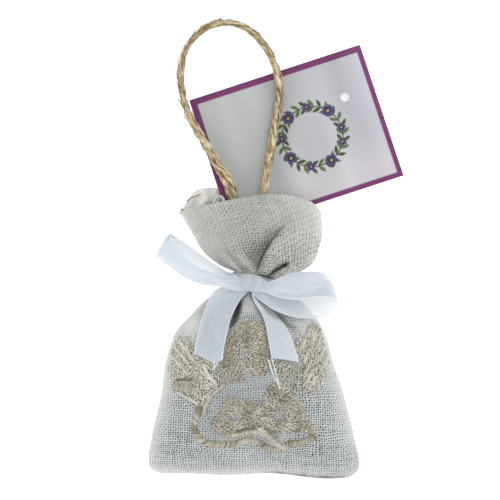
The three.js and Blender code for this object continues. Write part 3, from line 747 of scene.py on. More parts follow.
def rim_edge(s, rim):
    crown, corner_rise, dip = rim
    lean = RIM_SLOPE * s + RIM_LEAN * s * (1 - s * s)
    corner = bell((s - BACK_CORNER_PLACE) / BACK_CORNER_REACH)
    fall = RIM_CORNER * rounded(s, RIM_CORNER_START)
    fall = fall + dip * bell((s - RIM_DIP[1]) / RIM_DIP[2]) * (1 - s**6)
    return RIM_Y - RIM_CROWN + lean + crown * (1 - np.abs(s) ** 2.2) + corner_rise * corner - fall


def follow_edges(s, row, rim):
    """A place on the middle line, moved so that its row follows the bottom seam or the rim."""
    mouth = lerp(TIE_END, rim_edge(s, rim), (row - TIE_END) / MOUTH_LENGTH)
    low = lerp(BOTTOM_Y, TIE_START, 0.3)
    share = np.clip((low - row) / (low - BOTTOM_Y), 0, 1)
    return np.where(row > TIE_END, mouth, row + (bottom_edge(s) - BOTTOM_Y) * share**2)


SEAM_LINE = 0.4  # of the bottom seam's shaded gap, from the edge
# darkness of the painted shadow in the bottom seam's gap
SEAM_GAP_SHADOW = 0.8
EDGE_LIGHT = 0.46  # painted light: how much paler the cloth is along its side and bottom seams
EDGE_LIGHT_REACH = 2.0
PAINTED_LIGHT_SPOTS = [
    (15.6, 22.4, 4.0, 0.3), (-18.2, 23.2, 3.8, 0.5), (-12.4, 46.4, 5.0, 0.36), (-4.0, 42.0, 3.6, 0.32),
    (1.0, 42.0, 1.8, 0.36), (-1.4, 28.6, 2.0, 0.26),
]  # painted light on the front: place, reach and paleness
DIM_SPOTS = [(28.0, -19.0, 6.0), (19.6, 47.6, 4.2)]  # places along its seams left without that painted light: place and reach
GROUND = [
    (-5.6, 8.0), (-13.0, 2.0), (-15.6, -4.0), (-16.4, -8.6), (-11.6, -12.2), (0.0, -11.6), (8.6, -13.4),
    (17.8, -10.4), (11.0, 2.0), (5.0, 8.6), (0.0, 9.4),
]  # of the figure, pressed by the stitches round it
HEM_ROLL = 0.6
CLOSER_ROWS = 8.0  # how far below the tie the panels' rows of points come closer
WEAVE_GATHER = 0.42  # how much closer the threads run near the tie
WEAVE_REACH = 22.0
MOUTH_WEAVE = 17.1  # half width of the mouth's cloth in the weave
MOUTH_CLOSING = 0.3  # how much closer the weave is in the mouth,
UPPER_CLOSING = 0.22  # in the mouth's upper half,
CORNER_CLOSING = 0.3  # at its right corner,
SEAM_CLOSING = 0.45  # along the side seams
PRESSED_CLOSING = 0.3  # and under the figure
FRONT_RIM_CLOSING = (0.5, 1.2)  # the same along a rim, and how far down from it
BACK_RIM_CLOSING = (0.8, 5.0)
LOW_OPENING = 0.12  # how much more open it is near the bottom and beside the figure
BOWL_OPENING = 0.5
PRESSED_SHADE = 0.2


def weave_places(grid, s):
    """Where the points of a panel are in its flat weave, in millimetres."""
    x, y = grid[..., 0], grid[..., 1]
    half = half_width(y)
    flat_half = half + WEAVE_GATHER * (FLAT_BAG[0] / 2 - half) * gathered(y, WEAVE_REACH)
    along, across = (
        np.cumsum(np.linalg.norm(np.diff(grid, axis=k, prepend=grid.take([0], axis=k)), axis=2), axis=k)
        for k in (0, 1)
    )
    across = across - across[:, [len(s) // 2]]
    u = 0.5 * across * np.maximum(flat_half / half, 1.0) + 0.5 * s * flat_half
    in_mouth = y > TIE_END
    fanned = s * MOUTH_WEAVE * (0.5 + 0.024 * half)
    arched = y + WEFT_ARCH * (x - 1.5) ** 2
    return np.where(in_mouth, fanned, u), np.where(in_mouth, arched, along.mean(axis=1, keepdims=True))


def cloth_looks(x, y, s, rim_y, front):
    """How filled, open, pale with painted light, dark with painted shade and stitched over the weave of a
    panel is.
    """
    low_y, side = bottom_edge(s), np.abs(s)
    opened = 1 - MOUTH_CLOSING * smoothstep(TIE_END, TIE_END + 8, y)
    opened -= UPPER_CLOSING * smoothstep(TIE_END + 8, TIE_END + 16, y)
    opened -= CORNER_CLOSING * smoothstep(RIM_Y - 14, RIM_Y - 3, y) * smoothstep(0, 14, x)
    opened -= SEAM_CLOSING * smoothstep(0.75, 0.97, side) * smoothstep(TIE_START, TIE_START - 8, y)
    opened += LOW_OPENING * smoothstep(-12, -16, y) * smoothstep(BOTTOM_Y, BOTTOM_Y + 3, y)
    beside = smoothstep(6, 14, np.abs(x)) * smoothstep(10, 2, y)
    opened += LOW_OPENING * beside * smoothstep(BOTTOM_Y, BOTTOM_Y + 8, y)
    closing, reach = FRONT_RIM_CLOSING if front else BACK_RIM_CLOSING
    opened -= closing * smoothstep(rim_y - reach, rim_y - 0.3, y)
    crease = covered = np.zeros(x.shape)
    # Painted light: the back is painted paler at its left corner; the front takes its bright places instead.
    painted_light_share = smoothstep(-4, -12, x) * smoothstep(RIM_Y - 12, RIM_Y - 7, y)
    if front:
        # Painted shadow in the gap along the bottom seam.
        gap = bell((y - low_y - SEAM_LINE) / 0.5) * smoothstep(0.0, 0.2, s) * smoothstep(0.93, 0.8, s)
        seam = SEAM_GAP_SHADOW * gap * (0.8 + 0.2 * np.sin(0.9 * x))
        pressed = blurred(within(GROUND), x, y, 1.0)
        # Painted light at the front's bright places, where the weave is drawn closer too.
        painted_light_share = sum(paleness * near_spot(x, y, *place) for *place, paleness in PAINTED_LIGHT_SPOTS)
        opened += BOWL_OPENING * near_spot(x, y, *BOWL) - PRESSED_CLOSING * pressed - painted_light_share
        # Painted shade of the folds, the bottom seam's gap and the figure's pressed ground.
        crease = np.maximum(np.maximum(fold_shade(x, y), seam), PRESSED_SHADE * pressed)
        covered = stitched_share(x, y)
    # Painted light along the side and bottom seams, fading at the tie and at the dim spots.
    from_seam = np.minimum(half_width(y) * (1 - side), np.maximum(y - low_y, 0))
    edge_light = EDGE_LIGHT * np.exp(-from_seam / EDGE_LIGHT_REACH) * (1 - gathered(y, 5.0))
    for place in DIM_SPOTS:
        edge_light = edge_light * (1 - near_spot(x, y, *place))
    both = {"filled": smoothstep(38, 26, y), "open": opened, "pale": np.maximum(edge_light, painted_light_share)}
    return both, {"crease": crease, "stitched": covered}


def panel(name, height, rim_shape, inward, rows, columns):
    """One panel of the bag, with its rim rolled over and turned in."""
    front = inward < 0
    s = np.sin(np.linspace(-1, 1, columns) * math.pi / 2)
    pouch_rows = np.linspace(BOTTOM_Y, TIE_START - CLOSER_ROWS, rows // 2)
    mouth_rows = np.linspace(TIE_START - CLOSER_ROWS, RIM_Y, rows // 2)[1:]
    y = follow_edges(s, np.concatenate([pouch_rows, mouth_rows])[:, None], rim_shape)
    outer = np.stack([across_bag(s, y), y, height(s, y)], axis=-1)
    if front:
        outer = outer + near_spot(outer[..., 0], y, *LOBE)[..., None] * [0, -LOBE_FALL, LOBE_RISE]
    rim = outer[-1]
    roll = HEM_ROLL * lerp(0.3, 1.0, smoothstep(1.0, 0.88, np.abs(s)))
    hem = [
        rim + np.stack([0 * roll, roll * math.sin(t), inward * roll * (1 - math.cos(t))], axis=-1)
        for t in np.linspace(0, math.pi, 7)[1:]
    ]
    for depth in np.linspace(0, HEM_DEPTH, 10)[1:]:
        y_in = rim[:, 1] - depth
        z_in = height(s, y_in) + inward * 2 * roll
        hem.append(np.stack([across_bag(s * 0.985, y_in), y_in, z_in], axis=-1))
    grid = np.concatenate([outer, hem])
    u, v = weave_places(grid, s)
    if not front:
        grid, u, v = grid[:, ::-1], u[:, ::-1], v[:, ::-1]
    made = shell_object(name, grid, CLOTH, u, v, LINEN)
    both, outside = cloth_looks(grid[..., 0], grid[..., 1], s, rim_edge(s, rim_shape), front)
    for attribute, values in both.items():
        set_attribute(made, attribute, values)
    for attribute, values in outside.items():
        set_attribute(made, attribute, values, np.zeros(values.shape))
    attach(made, "sachet")
    return made


def build_bag():
    front = panel("linen_front", front_height, FRONT_RIM, -1, 260, 200)
    back = panel("linen_back", back_height, BACK_RIM, 1, 180, 140)
    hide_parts("front_panel", "front_hem")
    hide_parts("back_panel", "back_hem")


def bud(centre, axis, length, width):
    """A small pointed flower bud."""
    along = np.linspace(-0.5, 0.5, 5)
    path = centre + along[:, None] * length * axis
    return tube(path, width * np.array([0.15, 0.8, 1.0, 0.75, 0.15]) / 2, 5)


FILLING_INSET = 3.2  # from the seams
FILLING_BELOW = 2.6  # the front cloth
FILLING_ABOVE = 1.2  # the back cloth
FILLING_SHARE = 0.93  # of the height between them
BUDS = 260


def build_filling():
    """A heap of dried flowers that fills the pouch, with loose buds over it."""
    rows, columns = 46, 40
    y = np.linspace(BOTTOM_Y + FILLING_INSET, TIE_START - 6, rows)[:, None]
    s = np.sin(np.linspace(-1, 1, columns) * math.pi / 2) * (1 - FILLING_INSET / half_width(y))
    x = across_bag(s, y)
    level = lerp(seam_level(y), 11.0, 0.3)
    top = lerp(level, front_height(s, y) - FILLING_BELOW, FILLING_SHARE)
    low = lerp(level, back_height(s, y) + FILLING_ABOVE, FILLING_SHARE)
    rough = 0.3 * waves(x, y, 2.4, 11)
    heights = top + rough, np.minimum(low - rough * 0.3, top - 0.4)
    upper, lower = (np.stack([x, np.broadcast_to(y, x.shape), z], axis=-1) for z in heights)
    points, faces = closed(upper, lower)
    parts = [(points, faces.tolist(), points[:, :2])]
    for _ in range(BUDS):
        i, j = random.integers(4, rows - 4), random.integers(5, columns - 5)
        turn = random.uniform(0, 2 * math.pi)
        axis = np.array([math.cos(turn), math.sin(turn), 0.0])
        length, width = random.uniform(2.4, 4.0), random.uniform(1.0, 1.5)
        parts.append(bud(upper[i, j] + [0, 0, 0.2], axis, length, width))
    made = make_object("lavender_buds", *joined(parts), LAVENDER)
    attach(made, "sachet")
    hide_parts("lavender_filling")


# Ribbon

LEFT_LOOP_UPPER = [
    (-1.0, 1.9, 0.2), (-4.3, 2.4, 1.0), (-10.6, 3.4, 4.0), (-17.1, 6.2, 5.5), (-21.4, 10.0, 5.0),
    (-24.9, 15.6, 2.2), (-21.0, 13.2, 0.2), (-14.9, 8.6, -0.6), (-9.5, 5.0, -0.4), (-4.4, 2.4, 0.2),
    (-1.0, 1.7, 0.0),
]
LEFT_LOOP_LOWER = [
    (-1.0, -1.9, 0.2), (-4.3, -2.0, 0.8), (-9.4, -0.6, 2.6), (-15.0, 0.1, 1.4), (-22.0, 3.2, -0.8),
    (-29.0, 8.8, -3.6), (-23.6, 6.6, -5.6), (-16.0, 3.6, -5.0), (-9.6, 1.2, -3.0), (-4.4, -1.8, -0.2),
    (-1.0, -1.7, -0.2),
]
RIGHT_LOOP_UPPER = [
    (1.0, 1.9, 0.2), (4.9, 0.9, 1.0), (8.7, 2.1, 1.4), (11.4, 3.4, 1.4), (16.3, 3.9, 1.0), (21.4, 3.6, 0.0),
    (24.2, 1.6, -2.0), (20.5, -1.6, -4.0), (13.0, -3.4, -3.6), (7.6, -1.8, -2.0), (4.3, 1.4, -0.1),
    (1.0, 1.5, -0.1),
]
RIGHT_LOOP_LOWER = [
    (1.0, -2.0, 0.2), (4.3, -2.6, 1.2), (10.5, -4.4, 4.4), (17.0, -4.3, 5.4), (22.0, -3.9, 5.0),
    (26.6, -5.4, 3.2), (23.6, -9.4, 1.4), (15.2, -10.4, 1.2), (10.4, -9.2, 1.3), (7.2, -8.0, 1.3),
    (4.1, -6.0, 1.0), (1.8, -4.2, 0.4), (0.2, -2.4, 0.1),
]
LEFT_TAIL_OUTER = [
    (-1.6, -0.2), (-5.4, -0.6), (-10.0, -1.2), (-12.5, -3.7), (-14.3, -7.8), (-15.8, -12.6), (-16.9, -17.6),
    (-17.4, -21.1),
]
LEFT_TAIL_INNER = [(-0.6, -2.0), (-2.8, -4.2), (-5.4, -8.6), (-7.0, -13.4), (-8.1, -18.8), (-8.7, -22.9)]
RIGHT_TAIL_INNER = [(0.0, -2.0), (0.6, -4.6), (2.4, -7.6), (4.2, -11.4), (5.2, -16.6), (6.3, -22.4)]
RIGHT_TAIL_OUTER = [(1.2, -1.8), (2.6, -4.6), (6.2, -7.6), (10.4, -12.4), (12.9, -17.6), (14.6, -23.6)]
TAIL_CLEARANCE = 1.3
TAIL_FALL = 0.12
TAIL_START = 0.4  # below the knot's middle
TAIL_LEAST = 0.6  # above the cloth
RIBBON_POINTS = 17  # across a ribbon


def ribbon_strip(name, edge_a, edge_b, cup, slub_seed, bend=None, tip=None, white=0.0, shadow=0.0):
    """A ribbon between two edges, with a shallow cupping across it and fine unevenness along it.

    Between the two shares of its length that bend says, a loop's inner face is painted whiter, as painted
    light; without bend, the whole ribbon is painted whiter by the white level. A tip, as a share of the
    width and a reach, draws out the cut end there. A painted shadow darkens the start of its first edge.
    """
    across = np.linspace(0, 1, RIBBON_POINTS)
    grid = lerp(edge_a[:, None], edge_b[:, None], across[:, None])
    length = lengths_of(grid[:, RIBBON_POINTS // 2])
    ripple = 0.12 * waves(length[:, None] * 0.6, 11 * across, 4.0, slub_seed)
    fade = smoothstep(0, 4, length) * smoothstep(0, 1, length[-1] - length)
    bow = (1 - (2 * across - 1) ** 2) * cup
    grid = grid + normals_of(grid) * (bow + ripple * fade[:, None])[..., None]
    if tip:
        drawn = np.interp(across, (0, tip[0], 1), (0, tip[1], 0))
        near_end = smoothstep(length[-1] - 5, length[-1], length)
        grid = grid + (near_end[:, None] * drawn)[..., None] * unit(grid[-1] - grid[-3])
    made = shell_object(name, grid, RIBBON, length[:, None], across, RIBBON_CLOTH)
    share = length / length[-1]
    # Painted light: how much whiter each row of the ribbon is painted.
    painted_light = np.full(len(length), white)
    if bend:
        start, end = bend
        painted_light = smoothstep(start, start + 0.1, share) * smoothstep(end + 0.16, end, share)
    set_attribute(made, "inside", np.repeat(painted_light, RIBBON_POINTS))
    if shadow:
        near_knot = smoothstep(0.58, 0.44, share[:, None] + 0.2 * across)
        set_attribute(made, "shaded", shadow * smoothstep(0.75, 0.5, across) * near_knot)
    return made


def tail_edge(plan):
    """A tail's edge from the knot down to the stitched front, which it lies on."""
    line = curve_through(plan, 44)
    x, y = (KNOT[:2] + line).T
    falling = KNOT[2] - TAIL_START - TAIL_FALL * np.linalg.norm(line, axis=1)
    resting = front_at(x, y) - np.minimum(0, fold_rise(x, y)) + TAIL_CLEARANCE
    z = np.pad(np.maximum(falling, resting), 4, mode="edge")
    smooth = np.convolve(z, np.ones(9) / 9, mode="valid")
    return np.stack([x, y, np.maximum(smooth, front_at(x, y) + TAIL_LEAST)], axis=1)


def build_bow():
    loops = {
        "left": (LEFT_LOOP_UPPER, LEFT_LOOP_LOWER, -1, (0.5, 0.76)),
        "right": (RIGHT_LOOP_UPPER, RIGHT_LOOP_LOWER, 1, (0.4, 0.84)),
    }
    for side, (upper, lower, sign, bend) in loops.items():
        edges = [KNOT + curve_through(points, 110) for points in (upper, lower)]
        made = ribbon_strip(f"bow_loop_{side}", *edges, 0.5 * sign, 21 + sign, bend=bend)
        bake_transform(made)
        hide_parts(f"ribbon_loop_{side}")
    # The last two numbers of each tail are its painted light level and its painted shadow.
    tails = {
        "left": (LEFT_TAIL_INNER, LEFT_TAIL_OUTER, (-0.5, -0.86, 0), (0.010, 0.022), (0.25, 1.8), 0.1, 0.0),
        "right": (RIGHT_TAIL_OUTER, RIGHT_TAIL_INNER, (0.43, -0.9, 0), (0.010, 0.0165), None, 0.4, 0.55),
    }
    for side, (first, second, away, flat, tip, white, shadow) in tails.items():
        edges = tail_edge(first), tail_edge(second)
        made = ribbon_strip(f"bow_tail_{side}", *edges, 0.35, 31, tip=tip, white=white, shadow=shadow)
        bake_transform(made)
        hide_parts(f"ribbon_tail_{side}")


def build_knot():
    """The knot: a short stretch of ribbon pulled over the crossing, with folds along it."""
    rows, columns = 40, 48
    turn = np.linspace(0.04, math.pi - 0.04, rows)[:, None]
    round_ = np.linspace(0, 2 * math.pi, columns, endpoint=False)
    ring = signed_power(np.sin(turn), 0.8)
    x = ring * signed_power(np.cos(round_), 0.85)
    z = ring * signed_power(np.sin(round_), 0.85)
    y = signed_power(np.cos(turn), 0.8) + 0 * x
    folds = 1 + 0.16 * np.cos(8 * x + 3.4 * y + 0.6) + 0.08 * np.cos(15 * x - 4.0 * y)
    across, along, rise = KNOT_HALF[:, None, None] * [x * (0.94 + 0.1 * y * y), y, z * folds]
    grid = KNOT_MIDDLE + np.stack([*turned(across, along, KNOT_TURN), rise], axis=-1)
    faces = [face[:1] + face[:0:-1] for face in ring_faces(rows, columns)]
    uv = np.stack([np.linspace(0, 9, rows)[:, None] + 0 * x, 0.5 + 0.42 * np.cos(round_) + 0 * x], axis=-1)
    made = make_object("bow_knot", grid.reshape(-1, 3), faces, uv.reshape(-1, 2), RIBBON_CLOTH)
    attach(made, "sachet")
    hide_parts("ribbon_knot")


WRAP_SLANT = 0.8  # how far its right side hangs lower
WRAP_HALF = 2.1  # half its width
WRAP_CLEARANCE = 0.55  # from the neck


def build_wrap():
    """The gathered stretch of ribbon that ties the neck."""
    angle = np.linspace(0, 2 * math.pi, 96)[:, None]
    across = np.linspace(-1, 1, 22)
    crease = WRAP_CLEARANCE + 0.16 * np.cos(8 * across + 0.5 * np.sin(3 * angle)) - 0.12 * across**2
    x = NECK_SHIFT + signed_power(np.cos(angle), 0.77) * (NECK_WIDTH / 2 + crease)
    z = NECK_LEVEL + signed_power(np.sin(angle), 0.77) * (NECK_HEIGHT / 2 + crease)
    y = (TIE_START + TIE_END) / 2 + WRAP_HALF * across + 0.1 * np.sin(5 * angle)
    y = y - WRAP_SLANT * np.cos(angle)
    grid = np.stack([x, y, z], axis=-1)[:, ::-1]
    made = shell_object("bow_wrap", grid, RIBBON, angle * 6, 0.5 - 0.5 * across, RIBBON_CLOTH)
    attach(made, "sachet")
    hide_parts("ribbon_neck_wrap")


# Hanging loop

LOOP_ROUTE = [
    (-6.2, 64.0, 7.7), (-7.4, 67.8, 7.1), (-10.4, 72.7, 6.1), (-13.5, 77.8, 5.1), (-17.2, 84.1, 3.9),
    (-20.3, 90.5, 2.7), (-22.0, 97.2, 1.9), (-22.2, 102.3, 1.7), (-21.2, 107.6, 1.6), (-19.0, 111.7, 1.6),
    (-15.9, 114.9, 1.6), (-12.4, 116.9, 1.6), (-8.4, 117.6, 1.6), (-4.4, 116.9, 1.6), (-0.6, 115.0, 1.6),
    (2.6, 112.0, 1.7), (5.1, 108.6, 1.9), (7.0, 104.6, 2.2), (8.1, 100.6, 2.5), (8.4, 96.4, 3.0),
    (8.2, 92.2, 3.5), (7.5, 87.4, 4.1), (6.7, 82.9, 4.7), (5.8, 78.2, 5.4), (5.0, 73.6, 6.1),
    (4.2, 69.0, 6.9), (3.75, 65.1, 7.7),
]
LEFT_END = [(-6.1, 63.5, 7.8), (-5.2, 57.0, 8.0), (-3.4, 48.0, 7.4), (-2.3, 41.0, 7.2), (-2.2, 34.0, 7.8)]
RIGHT_END = [(3.7, 64.7, 7.8), (3.4, 57.0, 8.0), (2.2, 48.0, 7.4), (1.1, 41.0, 7.2), (1.0, 34.0, 7.8)]
STRANDS = 3
STRAND_RADIUS = 0.82
STRAND_LEAN = 0.48  # from the twine's middle line to a strand's
LAY = 12.5  # length of one full twist
TWINE_FULLNESS = smooth_through(
    [0.0, 0.18, 0.23, 0.3, 0.42, 0.5, 0.6, 0.7, 0.82, 1.0],
    [0.8, 1.0, 1.2, 0.95, 0.78, 0.85, 0.95, 1.08, 1.0, 0.8],
)  # by the share of the twine's length, from its left end
LEFT_FOOT = 31.0  # where along the twine it leaves the mouth and is loosened
HAIRS = 260
HAIR_START = 38.0  # from the twine's ends, so that no hair is in the bag


def build_twine():
    """Three twisted strands from inside the neck, round the loop and back, loosened at the mouth."""
    path = curve_through(LEFT_END[::-1] + LOOP_ROUTE + RIGHT_END, 420)
    length = lengths_of(path)
    tangent = unit(np.gradient(path, axis=0))
    side = unit(np.cross(tangent, [0, 0, 1.0]))
    up = np.cross(side, tangent)
    spread = 1 + 1.8 * bell((length - LEFT_FOOT) / 7)
    full = TWINE_FULLNESS(length / length[-1]) * (1 + 0.06 * np.sin(length * 0.37))
    parts = []
    for k in range(STRANDS):
        turn = 2 * math.pi * (length / LAY + k / STRANDS) + 0.5 * np.sin(length * 0.21 + k)
        lean = STRAND_LEAN * full
        offset = side * (np.cos(turn) * lean * spread)[:, None] + up * (np.sin(turn) * lean)[:, None]
        radius = STRAND_RADIUS * full * (1 + 0.08 * np.sin(length * 0.5 + 2 * k))
        points, faces, uv = tube(path + offset, radius, 10)
        parts.append((points, faces, uv + [37.0 * k, 0.3 * k]))
    made = make_object("jute_twine", *joined(parts), JUTE)
    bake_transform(made)
    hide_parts("hanging_loop", "loop_end_left", "loop_end_right")
    fibres = build_fibres(path, length)


def build_fibres(path, length):
    """Stray hairs of the twine."""
    parts = []
    outside = np.flatnonzero((length > HAIR_START) & (length < length[-1] - HAIR_START))
    t = np.linspace(0, 1, 6)[:, None]
    for _ in range(HAIRS):
        at = int(random.choice(outside))
        tangent = unit(path[at + 1] - path[at - 1])
        away = unit(np.cross(tangent, random.normal(size=3)))
        away[2] = abs(away[2]) * 0.6
        reach = random.uniform(1.8, 5.0)
        curl = random.normal(size=3) * 0.35
        curl[2] = abs(curl[2]) * 0.3
        hair = path[at] + away * (1.0 + 0.9 * t * t) + tangent * reach * t + curl * t * t
        hair[:, 2] = np.maximum(hair[:, 2], 0.15)
        parts.append(tube(hair, np.linspace(0.09, 0.04, 6), 4))
    made = make_object("twine_fibres", *joined(parts), JUTE)
    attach(made, "hanging_loop")
    return made


# Card

VIOLET = srgb(153, 76, 137)
PETAL = srgb(112, 96, 150)
PETAL_DEEP = srgb(66, 58, 96)
LEAF = srgb(122, 142, 84)
LEAF_DEEP = srgb(84, 106, 62)
CENTRE = srgb(222, 190, 96)
WREATH = (33.0, 20.5, 9.5)  # middle and radius of the printed wreath
LEAF_LENGTH = 3.2
LEFT_TINT = np.array([0.9, 0.93, 0.88])  # of the board's white
RIGHT_TINT = np.array([0.88, 0.87, 0.94])
LOW_PAINTED_LIGHT = np.array([0.14, 0.09, 0.08])  # painted light: warmer and lighter near the mouth
SHARP = 8.0  # of the print's edges, per millimetre
CARD_STEP = 0.2


def card_print_and_painted_light(a, b):
    """Colour of the print, lightened and warmed near the mouth as painted light, as a multiplier of the
    board, at places along and up the card.
    """
    colour = lerp(LEFT_TINT, RIGHT_TINT, (a / CARD_LENGTH)[..., None])
    # Painted light: the board is warmer and lighter near the bag's mouth.
    colour = colour + smoothstep(17, 5, b)[..., None] * LOW_PAINTED_LIGHT

    def paint(depth, value, sharp=SHARP):
        colour[:] = lerp(colour, value, np.clip(depth * sharp, 0, 1)[..., None])

    def from_wreath(turn):
        return a - WREATH[0] - WREATH[2] * math.cos(turn), b - WREATH[1] - WREATH[2] * math.sin(turn)

    turns = np.linspace(0, 2 * math.pi, 27)[:-1]
    for number, turn in enumerate(turns):
        for side in (-1, 1):
            along, across = turned(*from_wreath(turn), -(turn + math.pi / 2 + side * 0.75))
            leaf = 0.62 * np.sin(np.pi * np.clip(along / LEAF_LENGTH, 0, 1)) - np.abs(across)
            inside = (along > 0) & (along < LEAF_LENGTH)
            paint(np.where(inside, leaf, -1), LEAF if number % 2 else LEAF_DEEP)
    ring = np.abs(np.hypot(a - WREATH[0], b - WREATH[1]) - WREATH[2])
    paint(0.26 - ring, LEAF_DEEP)
    for number, turn in enumerate(turns[::3]):
        off_a, off_b = from_wreath(turn)
        size = 1.5 + 0.6 * (number % 2)
        angle = np.arctan2(off_b, off_a) + 0.4 * number
        away = np.hypot(off_a, off_b)
        paint(size * (0.7 + 0.3 * np.abs(np.cos(2.5 * angle)) ** 0.7) - away, PETAL)
        paint(size * 0.55 - away, PETAL_DEEP, SHARP / 2)
        paint(size * 0.26 - away, CENTRE)
    borders = BORDER_LEFT - a, BORDER_TOP - CARD_HEIGHT + b, BORDER_RIGHT - CARD_LENGTH + a, BORDER_LOW - b
    for depth in borders:
        paint(depth, VIOLET)
    return colour


def card_place(a, b, lift):
    """A point of the card, along, up and above its board, in the row frame."""
    up, z = turned(b, lift, -CARD_TILT)
    return CARD_CORNER + np.stack([*turned(a, up, CARD_TURN), z], axis=-1)


def build_card():
    """The bordered card, as a fine board with one punched hole and softened edges."""
    columns, rows = round(CARD_LENGTH / CARD_STEP) + 1, round(CARD_HEIGHT / CARD_STEP) + 1
    a, b = np.meshgrid(np.linspace(0, CARD_LENGTH, columns), np.linspace(0, CARD_HEIGHT, rows))
    hole_a, hole_b, radius = CARD_HOLE
    away = np.maximum(np.hypot(a - hole_a, b - hole_b), 1e-6)
    near = (away > radius - 0.75 * CARD_STEP) & (away < radius + 1.5 * CARD_STEP)
    pull = np.where(near, radius / away, 1)
    a, b = hole_a + (a - hole_a) * pull, hole_b + (b - hole_b) * pull
    keep = np.hypot(a - hole_a, b - hole_b) > radius - 0.5 * CARD_STEP
    edge = np.minimum(np.minimum(a, CARD_LENGTH - a), np.minimum(b, CARD_HEIGHT - b))
    round_off = 0.07 * (1 - smoothstep(0, 0.25, edge))
    sheets = [card_place(a, b, lift).reshape(-1, 3) for lift in (CARD_THICKNESS - round_off, round_off)]
    size = a.size
    whole = grid_faces(rows, columns)
    kept = whole[keep.ravel()[whole].all(axis=1)]
    sides = np.concatenate([kept[:, [k, (k + 1) % 4]] for k in range(4)])
    backwards = set((sides[:, 1] * size + sides[:, 0]).tolist())
    first, second = sides[[p * size + q not in backwards for p, q in sides.tolist()]].T
    walls = np.stack([second, first, first + size, second + size], axis=1)
    used, faces = np.unique(np.concatenate([kept, kept[:, ::-1] + size, walls]), return_inverse=True)
    uv = np.tile(np.stack([a.ravel(), b.ravel()], axis=1), (2, 1))[used]
    made = make_object("printed_card", np.concatenate(sheets)[used], faces.reshape(-1, 4), uv, CARD_PRINT)
    inked = card_print_and_painted_light(a, b).reshape(-1, 3)
    colours = np.concatenate([inked, np.ones_like(inked)])[used]
    layer = made.data.color_attributes.new("print", "FLOAT_COLOR", "POINT")
    layer.data.foreach_set("color", np.column_stack([colours, np.ones(len(used))]).ravel())
    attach(made, "card")
    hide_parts("tag_card")


# Embroidery: a traditional winged figure in satin and filling stitches

STITCH_RADIUS = 0.21
BODICE = [
    (-2.2, 24.6), (3.6, 24.6), (4.6, 18.0), (5.2, 13.6), (4.6, 9.6), (1.6, 7.6), (-0.4, 9.6), (-1.2, 15.0),
    (-2.6, 19.4),
]
SLEEVE = [
    (-5.0, 22.6), (-2.2, 24.8), (-3.4, 20.6), (-4.8, 19.0), (-4.6, 15.0), (-3.6, 11.6), (-2.8, 8.0),
    (-5.4, 6.2), (-9.4, 7.6), (-9.6, 10.6), (-8.6, 14.6), (-7.4, 20.0),
]
SKIRT = [
    (7.6, 6.2), (10.2, 5.6), (13.3, 2.8), (15.8, -2.8), (18.8, -8.2), (18.4, -9.3), (8.4, -9.3),
    (2.2, -7.2), (-2.3, -7.8), (-6.5, -9.4), (-11.8, -9.2), (-12.2, -6.8), (-9.9, -3.4), (-8.7, -0.3),
    (-7.1, 1.5), (-2.8, 0.4), (0.9, -0.7), (3.4, -0.2), (4.6, 4.0),
]
STRIP = [(-4.8, 20.0), (-2.4, 20.0), (-1.0, 14.6), (-0.6, 9.8), (-3.0, 8.4), (-3.8, 12.0), (-4.8, 16.0)]
LEFT_HOLLOW = (-5.2, -4.4, 2.2, 1.1)  # middle and half sizes of a place left bare
RIGHT_HOLLOW = [(8.4, -1.2), (11.0, -5.4), (5.8, -5.4)]
SIDE_GROUND = [(5.0, 12.6), (14.6, 12.2), (15.4, 8.4), (16.2, 4.2), (14.4, 2.6), (10.8, 6.0), (6.6, 7.2)]
# Painted shadow: rows of dark stitches in the gaps between the satin fields
HEM_SHADOW_LINES = [[(-7.4, -9.4), (-3.1, -8.6), (1.2, -7.4)], [(3.1, -8.2), (5.6, -9.2), (8.1, -9.6)]]
HEM_BAND = [(-8.0, -10.4), (-3.4, -9.8), (1.4, -9.0), (4.4, -10.4), (7.4, -11.4)]
OUTLINE = [
    (-18.6, 1.2), (-16.2, -1.8), (-17.3, -5.2), (-17.6, -8.6), (-15.6, -11.8), (-11.6, -13.2),
    (-7.6, -13.2), (-4.0, -12.6), (-0.8, -11.8), (2.4, -12.8), (5.4, -14.4), (8.6, -14.9), (10.6, -13.2),
    (15.8, -12.4), (18.8, -11.0), (19.2, -8.8),
]
INNER_ARC = [(-6.0, 7.6), (-9.8, 4.4), (-12.6, 1.8), (-14.2, -1.2), (-14.8, -3.6)]
OUTLINE_WIDTH = 2.0
SASH_END = [(2.3, -7.8), (5.3, -10.9), (9.0, -14.2)]
LEFT_WING = [
    (-24.2, 20.0), (-19.8, 19.6), (-18.4, 16.6), (-16.2, 13.6), (-11.5, 12.8), (-9.4, 10.6), (-9.6, 7.4),
    (-11.5, 7.0), (-10.2, 4.8), (-12.4, 2.8), (-15.0, -1.2), (-17.4, -0.2), (-20.8, 2.0), (-23.9, 3.8),
    (-25.0, 7.6), (-25.9, 11.5), (-25.2, 15.6),
]
LEFT_BARE = [(-11.8, 9.6, 1.5, 1.3), (-14.4, 3.4, 1.2, 1.2)]  # middle and half sizes of places left bare
LEFT_FEATHERS = [
    [(-23.6, 19.4), (-20.4, 16.2), (-17.6, 12.4)],
    [(-24.4, 17.1), (-21.4, 14.0), (-18.6, 10.6)],
    [(-25.2, 14.2), (-22.4, 11.6), (-19.6, 8.4)],
    [(-22.0, 2.4), (-19.2, 1.0), (-16.6, -0.6)],
    [(-14.6, 11.4), (-13.0, 7.8), (-10.8, 5.4)],
]
LEFT_BAND = [(-24.0, 4.8), (-20.8, 4.4), (-17.2, 3.2)]
LEFT_SHADOW = [(-23.2, 6.6), (-20.8, 6.8), (-18.4, 6.7)]
